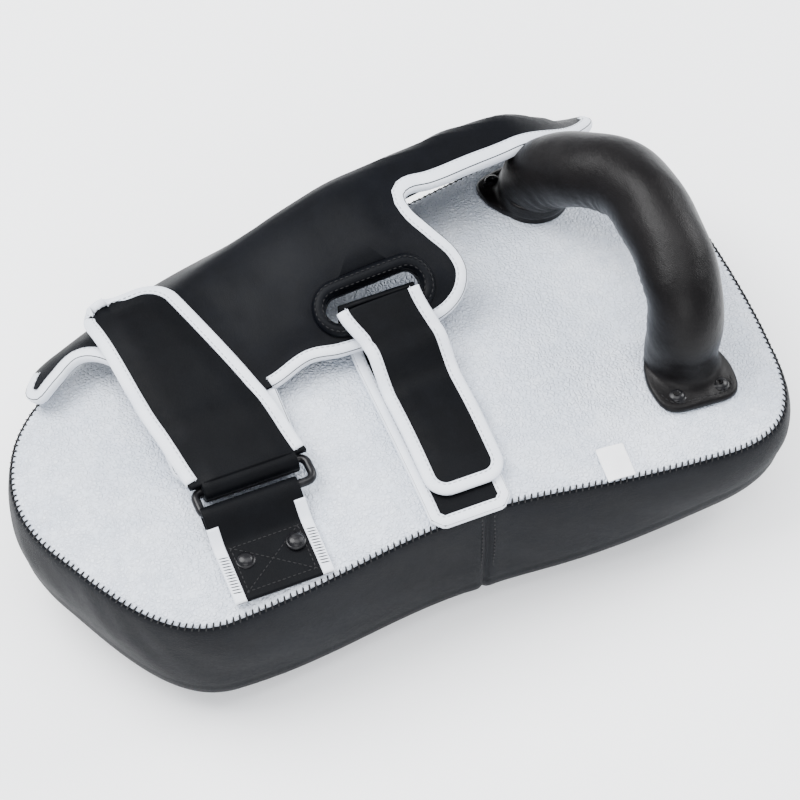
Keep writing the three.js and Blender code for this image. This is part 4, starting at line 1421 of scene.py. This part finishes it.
def dome(name: str, at: tuple[float, float, float], radius: float, height: float,
         recess: float = 0.0) -> bpy.types.Object:
    """Domed head with a thin washer edge and an optional drive recess.

    Args:
        name: Name of the piece.
        at: Middle of its underside.
        radius: Radius of the washer edge.
        height: Height of the dome.
        recess: Radius of a six-sided recess, or 0.

    Returns:
        The head.
    """
    rim = [(radius * 0.55, -1.4), (radius * 0.98, -1.4), (radius, -0.9), (radius, 0.1),
           (radius * 0.97, 0.42)]
    rim += [(radius * 0.86, 0.5), (radius * 0.82, 0.62)]
    start = max(recess, 0.01) / (radius * 0.82)
    rim += [(radius * 0.82 * s, 0.62 + (height - 0.62) * math.sqrt(1 - s * s)) for s in np.linspace(0.97, start, 9)]
    loops = []
    for size, z in rim:
        turn = np.linspace(0, 2 * math.pi, 36, endpoint=False)
        loops.append(np.column_stack([size * np.cos(turn), size * np.sin(turn), np.full(36, z)]))
    if recess:
        for depth in (0.15, 1.6):
            turn = np.linspace(0, 2 * math.pi, 36, endpoint=False)
            six = math.cos(math.pi / 6) / np.cos((turn % (math.pi / 3)) - math.pi / 6)
            size = recess * six
            loops.append(np.column_stack([size * np.cos(turn), size * np.sin(turn),
                                          np.full(36, height - depth)]))
    return skin(name, [loop + np.array(at) for loop in loops], ring=False)


@dataclass
class ForearmStrap(SubAssembly):
    """Wide strap: a tongue from the cuff to the ring, and the flap folded back over it."""

    ring_x: float = -87.0
    ring_y: float = -36.0
    ring_z: float = 97.6
    fold_gap: float = 2.75
    width: float = 60.0
    top_width: float = 46.0
    fold_width: float = 49.0
    half: float = 1.8
    top: float = 80.0
    slant: float = -0.215
    tape: float = 5.6
    corner: float = 15.0
    hinge_z: float = 91.3

    def build(self) -> None:
        """Make the flap, its fold, the tongue and their tapes."""
        self._flap()
        self._tongue()

    def _middle(self, y: Array | float) -> Array | float:
        """Middle line of the flap in x."""
        return self.ring_x + self.slant * (y - self.ring_y)

    def _half_width(self, y: Array | float) -> Array | float:
        """Half width of the flap."""
        return mix(self.width, self.top_width, smooth(y, -10, self.top)) / 2

    def _height(self, x: Array, y: Array) -> Array:
        """Middle of the flap's thickness."""
        low = self.ring_z + self.fold_gap + self.half
        on_cuff = CUFF.offset(CUFF.half + 3.6 + self.half)(x, np.maximum(y, CUFF.free))
        return mix(low, on_cuff, smooth(y, self.ring_y, -3))

    def _outline(self) -> Array:
        """Plan of the flap, anticlockwise from the ring's left end."""
        y = np.linspace(self.ring_y, self.top - self.corner, 40)
        right = [(float(self._half_width(v)), v) for v in y]
        end = float(self._half_width(self.top - self.corner))
        for turn in np.radians(np.linspace(6, 90, 14)):
            spot = self.top - self.corner + self.corner * math.sin(turn)
            right.append((end - self.corner * (1 - math.cos(turn)), spot))
        right = np.array(right)
        ring = np.vstack([right, (right * [-1, 1])[::-1]])
        ring[:, 0] += self._middle(ring[:, 1])
        return ring

    def _flap(self) -> None:
        """Upper flap with tapes on both sides and round its end."""
        surface = SoftSurface(self._height, CUFF.lean)
        outline = resample(self._outline(), 2.4, closed=True)
        region = Region(outline, 5.0, rings=(0.8, 2.0, 4.0, 6.6))
        sides = resample(self._outline(), 2.4, closed=False)
        gap = edge_distance(region.points, sides, closed=False)
        rise = smooth(gap, self.tape - 0.6, 14)
        upper = mix(self.half - 0.35, self.half + 0.9, rise) + 0.16 * ripple(region.points, 22.0, 3.3) * rise
        flap = surface.panel("forearm_flap_pad", region, upper,
                             np.full(len(region.points), self.half - 0.3))
        reach = self.fold_gap + self.half
        bend = arc(self.ring_y, self.ring_z, reach, 84, 184, 16)
        start = np.column_stack([np.linspace(self.ring_y + 6, self.ring_y + 1, 4),
                                 np.full(4, self.ring_z + reach)])
        path = resample(np.vstack([start, bend]), 1.2, closed=False)
        count = len(path)
        across = np.tile([1.0, 0.0, 0.0], (count, 1))
        wide = mix(self.fold_width / 2 + 0.6, self.fold_width / 2,
                   smooth(np.arange(count), 0, count * 0.5))
        centre = np.column_stack([np.full(count, self.ring_x), path])
        fold = ribbon("fold", centre, across, wide, self.half - 0.15)
        self.keep(merge("forearm_flap_leather", [flap, fold]), Palette.STRAP, "strap_leather",
                  FOREARM_BODY, "forearm_flap")
        tape_path = sides[sides[:, 1] > self.ring_y + 2.0]
        tape = surface.edging("forearm_flap_tape", tape_path,
                              binding_section(self.tape, self.half + 0.2), False)
        self.keep(tape, Palette.BINDING, "white_binding", FOREARM_BODY, "forearm_flap_binding")
        line = surface.line(tape_path, self.half + 0.4, self.tape - 1.3)
        row = self.stitcher.sew("forearm_flap_stitches", [line], Palette.GREY_THREAD, 2.7, 1.9,
                                0.27)
        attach(row, FOREARM_BODY)

    def _tongue_height(self, x: Array, y: Array) -> Array:
        """Middle of the tongue's thickness."""
        low = self.ring_z - self.fold_gap - self.half
        return mix(low, 100.5, smooth(y, self.ring_y, 17)) + 0.0 * x

    def _tongue(self) -> None:
        """Tongue below the flap."""
        surface = SoftSurface(self._tongue_height)
        left = [(-25.5, self.ring_y), (-26.5, self.ring_y + 6), (-32.5, -20), (-33.0, 0),
                (-32.0, 7.5)]
        right = [(-a, b) for a, b in left]
        right = [(min(a, 29.5), b) for a, b in right]
        outline = np.array([(self.ring_x + a, b) for a, b in right + left[::-1]])
        outline = resample(outline, 2.2, closed=True)
        region = Region(outline, 5.0, rings=(1.0, 2.6, 4.8))
        thick = np.full(len(region.points), self.half)
        tongue = surface.panel("tongue", region, thick, thick)
        hook_path = resample(arc(self.ring_y, self.ring_z, self.fold_gap + self.half, 182, 268, 14),
                             1.2, False)
        centre = np.column_stack([np.full(len(hook_path), self.ring_x), hook_path])
        across = np.tile([1.0, 0.0, 0.0], (len(hook_path), 1))
        hook = ribbon("hook", centre, across, 24.6, self.half - 0.15)
        whole = self.keep(merge("forearm_tongue_leather", [tongue, hook]), Palette.STRAP,
                          "strap_leather", None, "forearm_tongue")
        tapes, rows = [], []
        for points in (left, right):
            path = resample(np.array([(self.ring_x + a, b) for a, b in points]), 2.0, closed=False)
            if points is left:
                path = path[::-1]
            path = path[np.abs(path[:, 1] + 13) < 20]
            tapes.append(surface.edging("tape", path, binding_section(self.tape, self.half + 0.3),
                                        False))
            rows.append(surface.line(path, self.half + 0.5, self.tape - 1.3))
        tape = self.keep(merge("forearm_tongue_tapes", tapes), Palette.BINDING, "white_binding",
                         None)
        row = self.stitcher.sew("forearm_tongue_stitches", rows, Palette.GREY_THREAD, 2.7, 1.9,
                                0.27)
        for piece in (whole, tape, row):
            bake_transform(piece)


@dataclass
class WristStrap(SubAssembly):
    """Narrow strap: sewn to the back, up through the slot, and folded back down as a flap."""

    x: float = 11.0
    half_width: float = 20.0
    half: float = 1.3
    end_y: float = -80.5
    base_y: float = -94.0
    run_left: float = -13.5
    run_right: float = 27.5
    root_y: float = 23.7
    riser_y: float = 25.5
    riser_lift: float = 8.6
    riser_half_width: float = 20.5
    base_corner: float = 5.0
    tape: float = 5.4
    corner: float = 11.0
    hinge_z: float = 86.6

    def build(self) -> None:
        """Make the lower run and the flap."""
        self._run()
        self._flap()

    def _run_height(self, x: Array, y: Array) -> Array:
        """Middle of the lower run's thickness."""
        low = PAD.panel(x, np.minimum(y, 0)) + 0.5 + self.half
        high = CUFF.offset(-CUFF.half - 1.2 - self.half)(x, np.maximum(y, CUFF.free))
        return np.maximum(low, mix(low, high, smooth(y, -26, 20)))

    def _run(self) -> None:
        """Lower run from its sewn base to the slot, with side tapes."""
        surface = SoftSurface(self._run_height)
        left, right = self.run_left, self.run_right
        low, cut = self.base_y, self.base_corner
        base = [(left, low + cut), (left + cut, low), (right - cut, low), (right, low + cut)]
        corners = [*base, (right, 32.0), (left, 32.0)]
        outline = resample(np.array(corners), 2.4, closed=True)
        region = Region(outline, 5.0, rings=(0.9, 2.2, 4.4))
        thick = np.full(len(region.points), self.half)
        run = surface.panel("run", region, thick, thick)
        x, y = CUFF.slot[0], self.riser_y
        top = float(CUFF.offset(self.riser_lift)(np.array([x]), np.array([y]))[0])
        start = float(self._run_height(np.array([x]), np.array([y]))[0]) - 0.5
        path = np.array([(y, z) for z in np.linspace(start, top, 12)])
        centre = np.column_stack([np.full(len(path), x), path])
        across = np.tile([1.0, 0.0, 0.0], (len(path), 1))
        riser = ribbon("riser", centre, across, self.riser_half_width, self.half)
        whole = self.keep(merge("wrist_run_leather", [run, riser]), Palette.STRAP, "strap_leather",
                          None, "wrist_strap_run")
        path = resample(np.array([(left, 30.0), *base, (right, 30.0)]), 2.2, closed=False)
        tapes = [surface.edging("tape", path, binding_section(self.tape, self.half + 0.3), False)]
        rows = [surface.line(path, self.half + 0.5, self.tape - 1.2)]
        tape = self.keep(merge("wrist_run_tapes", tapes), Palette.BINDING, "white_binding", None)
        row = self.stitcher.sew("wrist_run_stitches", rows, Palette.GREY_THREAD, 2.7, 1.9, 0.27)
        start = (self.x * MM, -0.026, self.hinge_z * MM)
        for piece in (whole, tape, row):
            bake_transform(piece)

    def _middle(self, y: Array | float) -> Array | float:
        """Middle line of the flap in x."""
        return mix(self.x, 5.0, smooth(y, -2, 24))

    def _flap_height(self, x: Array, y: Array) -> Array:
        """Middle of the flap's thickness."""
        low = PAD.panel(x, y) + 1.1 + 3.9 + 0.2
        high = CUFF.offset(CUFF.half + 3.2 + self.half)(x, np.maximum(y, CUFF.free))
        bow = 2.2 * np.exp(-(((y + 40) / 26) ** 2))
        return mix(low + bow, high, smooth(y, -22, 6))

    def _flap(self) -> None:
        """Flap over the cuff and the lower run, taped all round."""
        surface = SoftSurface(self._flap_height, CUFF.lean)
        corner, end, root = self.corner, self.end_y, self.root_y
        half = [(self.half_width, root)] + [(self.half_width, v) for v in np.linspace(root - 2,
                                                                                      end + corner,
                                                                                      40)]
        for turn in np.radians(np.linspace(8, 90, 10)):
            half.append((self.half_width - corner * (1 - math.cos(turn)),
                         end + corner - corner * math.sin(turn)))
        half = np.array(half)
        ring = np.vstack([(half * [-1, 1]), half[::-1]])
        narrow = 1 + 0.06 * smooth(ring[:, 1], 6, root)
        ring[:, 0] = ring[:, 0] * narrow + self._middle(ring[:, 1])
        outline = resample(ring, 2.2, closed=True)
        region = Region(outline, 4.6, rings=(0.8, 2.0, 4.0, 6.2))
        sides = resample(ring, 2.2, closed=False)
        gap = edge_distance(region.points, sides, closed=False)
        rise = smooth(gap, self.tape - 0.6, 11)
        upper = mix(self.half - 0.2, self.half + 0.7, rise) + 0.15 * ripple(region.points, 20.0, 6.1) * rise
        flap = surface.panel("wrist_flap_leather", region, upper,
                             np.full(len(region.points), self.half - 0.2))
        self.keep(flap, Palette.STRAP, "strap_leather", WRIST_BODY, "wrist_flap")
        tape = surface.edging("wrist_flap_tape", sides, binding_section(self.tape, self.half + 0.3),
                              False)
        self.keep(tape, Palette.BINDING, "white_binding", WRIST_BODY, "wrist_flap_binding")
        line = surface.line(sides, self.half + 0.5, self.tape - 1.2)
        row = self.stitcher.sew("wrist_flap_stitches", [line], Palette.GREY_THREAD, 2.7, 1.9, 0.27)
        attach(row, WRIST_BODY)


# ---------------------------------------------------------------- the grip
@dataclass
class GripHandle(SubAssembly):
    """Padded arch whose ends flatten into tabs bolted through the back."""

    near: tuple[float, float] = (141.3, -43.8)
    far: tuple[float, float] = (115.0, 78.0)
    foot_z: float = 93.0
    radius: float = 18.6
    tab_half: float = 22.5
    tab_reach: tuple[float, float] = (29.0, 26.0)
    tab_thick: float = 3.6
    sides: int = 64
    bolt_reach: tuple[float, float] = (21.0, 20.0)
    bolt_aside: float = 12.0
    bolts: list[Array] = field(default_factory=list)

    def build(self) -> None:
        """Make the arch, its welt and the bolts."""
        near, far = np.array(self.near), np.array(self.far)
        along = unit((far - near)[None])[0]
        across = np.array([along[1], -along[0]])
        straight, sideways = np.array([0.0, 1.0]), np.array([1.0, 0.0])
        near_pair, far_pair = near - straight * self.bolt_reach[0], far + along * self.bolt_reach[1]
        for side in (-self.bolt_aside, self.bolt_aside):
            self.bolts.append(near_pair + sideways * side)
        for side in (-self.bolt_aside, self.bolt_aside):
            self.bolts.append(far_pair + across * side)
        loops = self._foot(near, straight, sideways, self.tab_reach[0])
        curve = self._curve()
        frames = self._arch(curve, sideways)
        foot = self._foot(far, -along, across, self.tab_reach[1])
        whole = skin("grip_arch", loops + frames + foot[::-1], ring=False)
        self.keep(whole, Palette.GRIP, "handle_leather", None, "handle_cover", "handle_padding",
                  "handle_core", "handle_tab_near", "handle_tab_far")
        rows = [self._tab_row(near, straight, sideways, self.tab_reach[0]),
                self._tab_row(far, -along, across, self.tab_reach[1])]
        row = self.stitcher.sew("grip_tab_stitches", rows, Palette.BLACK_THREAD, 2.9, 2.1, 0.32)
        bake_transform(whole)
        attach(row, PAD_BODY)
        heads = []
        for x, y in self.bolts:
            z = float(PAD.panel(np.array([x]), np.array([y]))[0]) + 0.5 + self.tab_thick - 0.9
            heads.append(dome("bolt_head", (x, y, z), 5.2, 2.6, recess=1.9))
        self.keep(merge("grip_bolts", heads), Palette.RIVET, "bolt_steel", PAD_BODY,
                  "bolt_near_elbow", "bolt_near_end", "bolt_far_elbow", "bolt_far_end")

    def _curve(self) -> Array:
        """Centre line of the arch above its feet."""
        (nx, ny), (fx, fy), z = self.near, self.far, self.foot_z
        knots = [(nx + 0.3, ny, z + 5), (nx + 1, ny + 0.3, z + 16), (nx + 3, ny + 9, z + 31),
                 (nx + 6, ny + 38, z + 42), (nx + 3, ny + 76, z + 42), (fx + 14, fy - 21, z + 31),
                 (fx + 3, fy - 5, z + 15), (fx + 0.3, fy, z + 5)]
        return resample(catmull(knots, closed=False, per=24), 1.6, closed=False)

    def _turns(self) -> Array:
        """Angles round a section."""
        return np.linspace(0, 2 * math.pi, self.sides, endpoint=False)

    def _foot(self, foot: Array, outer: Array, across: Array, reach: float) -> list[Array]:
        """Loops from a tab's underside up to the round of the grip.

        Args:
            foot: Plan point of the foot.
            outer: Direction from this foot towards the other.
            across: Direction across the grip.
            reach: How far the tab runs out behind the foot.

        Returns:
            The loops, lowest first.
        """
        rows = [(0.4, 0.0, 0.0), (0.9, 0.0, 0.6), (2.6, 0.0, 0.6), (3.5, 0.02, 0.4),
                (4.0, 0.05, 0.0), (4.25, 0.16, 0.0), (4.5, 0.30, 0.0), (4.9, 0.48, 0.0),
                (5.6, 0.64, 0.0), (6.8, 0.78, 0.0), (8.6, 0.88, 0.0), (10.8, 0.94, 0.0),
                (13.2, 0.98, 0.0), (15.8, 1.0, 0.0)]
        turn = self._turns()
        cos, sin = np.cos(turn), np.sin(turn)
        base = float(PAD.panel(foot[:1], foot[1:])[0])
        loops = []
        for height, share, out in rows:
            spread = smooth(-sin, -0.3, 0.4)
            power = mix(2.0, mix(5.0, 2.0, smooth(share, 0.1, 0.9)), spread)
            scale = (np.abs(cos) ** power + np.abs(sin) ** power) ** (-1 / power)
            wide = mix(self.radius, mix(self.tab_half + out, self.radius, smooth(share, 0, 0.8)),
                       spread)
            back = mix(reach + out, self.radius, share)
            front = mix(self.radius - 1.5, self.radius, share)
            length = np.where(sin < 0, back, front)
            plan = foot + np.outer(cos * scale * wide, across) + np.outer(sin * scale * length,
                                                                          outer)
            ground = PAD.panel(plan[:, 0], plan[:, 1])
            z = mix(ground, base, smooth(height, 4.6, 15)) + height + 0.1
            for x, y in self.bolts:
                away = np.hypot(plan[:, 0] - x, plan[:, 1] - y)
                z = z - (1.3 * np.exp(-((away / 6.0) ** 2)) if height > 2.6 else 0.0)
            loops.append(np.column_stack([plan, z]))
        return loops

    def _arch(self, curve: Array, across: Array) -> list[Array]:
        """Round loops along the arch, with gathers inside the bend and a welt."""
        along = unit(np.gradient(curve, axis=0))
        side = np.array([*across, 0.0])
        turn = self._turns()
        bend = np.linalg.norm(np.gradient(along, axis=0), axis=1) / 1.6
        bend = np.convolve(bend, np.ones(15) / 15, mode="same")
        length = 1.6 * len(curve)
        loops = []
        for index, (spot, way) in enumerate(zip(curve, along)):
            side = unit((side - way * (side @ way))[None])[0]
            up = np.cross(way, side)
            at = index * 1.6
            inner = np.clip(np.sin(turn), 0, 1)
            gather = 1.15 * np.sin(at * 0.95 + 1.6 * np.sin(turn * 2.0 + at * 0.05) + 0.7 * np.sin(at * 0.31))
            uneven = 0.55 + 0.45 * math.sin(at * 0.17 + 1.0)
            fold = gather * inner**1.3 * min(1.0, bend[index] * 42) * uneven
            soft = 0.35 * np.sin(3 * turn + at * 0.09) + 0.3 * np.sin(at * 0.21 + 2 * turn)
            welt = 1.15 * np.exp(-(((turn - 0.42) * self.radius / 1.25) ** 2))
            dip = -0.5 * np.exp(-((((np.abs(turn - 0.42)) * self.radius - 3.0) / 1.6) ** 2))
            fade = smooth(at, 0, 14) * smooth(length - at, 0, 14)
            thick = 1.1 * math.sin(math.pi * index / (len(curve) - 1))
            size = self.radius + thick + (fold + soft * 0.8) * fade + (welt + dip) * fade
            loops.append(spot + np.outer(np.cos(turn) * size, side) + np.outer(np.sin(turn) * size,
                                                                               up))
        return loops

    def _tab_row(self, foot: Array, outer: Array, across: Array,
                 reach: float) -> tuple[Array, Array]:
        """Stitch line round a tab's free edges."""
        turn = np.linspace(math.pi * 1.02, math.pi * 1.98, 60)
        power = 5.0
        scale = (np.abs(np.cos(turn)) ** power + np.abs(np.sin(turn)) ** power) ** (-1 / power)
        wide, back = self.tab_half - 2.4, reach - 2.6
        plan = foot + np.outer(np.cos(turn) * scale * wide, across) + np.outer(np.sin(turn) * scale * back, outer)
        z = PAD.panel(plan[:, 0], plan[:, 1]) + 4.35
        line = resample(np.column_stack([plan, z]), 1.2, False)
        return line, np.tile([0.0, 0.0, 1.0], (len(line), 1))


# ---------------------------------------------------------------- small parts and the hidden inside
@dataclass
class CareLabel(SubAssembly):
    """Small blank label tucked into the side seam."""

    low: tuple[float, float] = (77.0, -97.5)
    high: tuple[float, float] = (92.0, -80.0)

    def build(self) -> None:
        """Make the label, lying on the back with a lifted free end."""
        (x0, y0), (x1, y1) = self.low, self.high
        outline = resample(np.array([(x0, y0), (x1, y0), (x1 + 0.6, y1), (x0 + 0.6, y1)]), 1.0,
                           closed=True)
        region = Region(outline, 1.6, rings=(0.7, 1.5))

        def height(x: Array, y: Array) -> Array:
            """Label surface with a soft curl."""
            lift = 0.7 * smooth(y, -92, -79) + 0.35 * np.sin((x - 77) * 0.28)
            return PAD.panel(x, y) + 0.45 + lift

        flat = np.full(len(region.points), 0.16)
        label = SoftSurface(height).panel("care_label", region, flat, flat)
        self.keep(label, Palette.LABEL, "label_cloth", PAD_BODY, "label_tab")


@dataclass
class Internals:
    """Foams and board inside the covers, which keep their frame shapes."""

    wardrobe: Wardrobe
    finishes: dict[str, Palette] = field(default_factory=lambda: {
        "foam_core": Palette.DENSE_FOAM,
        "foam_back_layer": Palette.SOFT_FOAM,
        "foam_top_layer": Palette.SOFT_FOAM,
        "backing_board": Palette.BOARD,
    })

    def build(self, nodes: dict[str, bpy.types.Object]) -> None:
        """Dress the carried-over nodes.

        Args:
            nodes: The frame's nodes by name.
        """
        for name, finish in self.finishes.items():
            node = nodes[name]
            material = self.wardrobe.get(finish)
            if not node.data.materials:
                node.data.materials.append(material)
            for index in range(len(node.data.materials)):
                node.data.materials[index] = material
            LOG.info("%s: inner layer dressed", name)


@dataclass(frozen=True)
class Studio:
    """Camera, soft lights and floor."""

    target: tuple[float, float, float] = (0.876, -15.0, 85.0)
    away: tuple[float, float, float] = (-0.2204, -0.5295, 0.8192)
    distance: float = 1500.0
    lens: float = 135.8

    def build(self) -> None:
        """Set up the studio."""
        target = Vector(self.target) * MM
        back = Vector(self.away).normalized()
        data = bpy.data.cameras.new("camera")
        data.lens = self.lens
        data.sensor_width = 36.0
        data.clip_end = 20
        camera = bpy.data.objects.new("camera", data)
        camera.location = target + back * self.distance * MM
        camera.rotation_euler = (-back).to_track_quat("-Z", "Y").to_euler()
        bpy.context.scene.collection.objects.link(camera)
        bpy.context.scene.camera = camera
        lamps = (
            ("key_light", (-0.75, 0.55, 1.5), 1.3, 62.0),
            ("fill_light", (-0.6, -1.5, 1.0), 1.5, 24.0), ("end_light", (1.6, 0.2, 1.1), 1.0, 34.0),
            ("top_light", (0.2, -0.1, 2.0), 1.3, 24.0),
        )
        for name, place, size, power in lamps:
            lamp = bpy.data.lights.new(name, "AREA")
            lamp.shape = "DISK"
            lamp.size = size
            lamp.energy = power
            holder = bpy.data.objects.new(name, lamp)
            holder.location = place
            aim = Vector((0, 0, 0.05)) - Vector(place)
            holder.rotation_euler = aim.to_track_quat("-Z", "Y").to_euler()
            bpy.context.scene.collection.objects.link(holder)
        world = bpy.data.worlds.new("studio")
        world.use_nodes = True
        world.node_tree.nodes["Background"].inputs[0].default_value = (0.93, 0.95, 1.0, 1.0)
        world.node_tree.nodes["Background"].inputs[1].default_value = 1.15
        bpy.context.scene.world = world
        self._floor()

    def _floor(self) -> None:
        """Plain pale floor."""
        corners = np.array([(-4000, -4000, -0.2), (4000, -4000, -0.2), (4000, 4000, -0.2),
                            (-4000, 4000, -0.2)])
        floor = make_mesh("floor", corners, [(0, 1, 2, 3)], closed=False)
        desk = Desk("pale_floor")
        tone = desk.noise(400.0, 2.0)
        floor.data.materials.append(desk.finish(
            Base_Color=desk.blend((0.90, 0.91, 0.92), (0.94, 0.945, 0.95), tone), Roughness=0.8,
            Specular=0.2, Emission_Color=(0.93, 0.95, 1.0, 1.0), Emission_Strength=0.3))


def main() -> None:
    """Build every sub-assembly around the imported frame."""
    logging.basicConfig(level=logging.INFO, format="%(name)s %(message)s")
    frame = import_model()
    Studio().build()
    wardrobe = Wardrobe()
    stitcher = StitchTree(wardrobe)
    for assembly in (PadBody, Cuff, RingAnchor, ForearmStrap, WristStrap, GripHandle, CareLabel):
        assembly(wardrobe, stitcher).build()
        LOG.info("%s built", assembly.__name__)
    Internals(wardrobe).build(frame["nodes"])


if __name__ == "__main__":
    main()
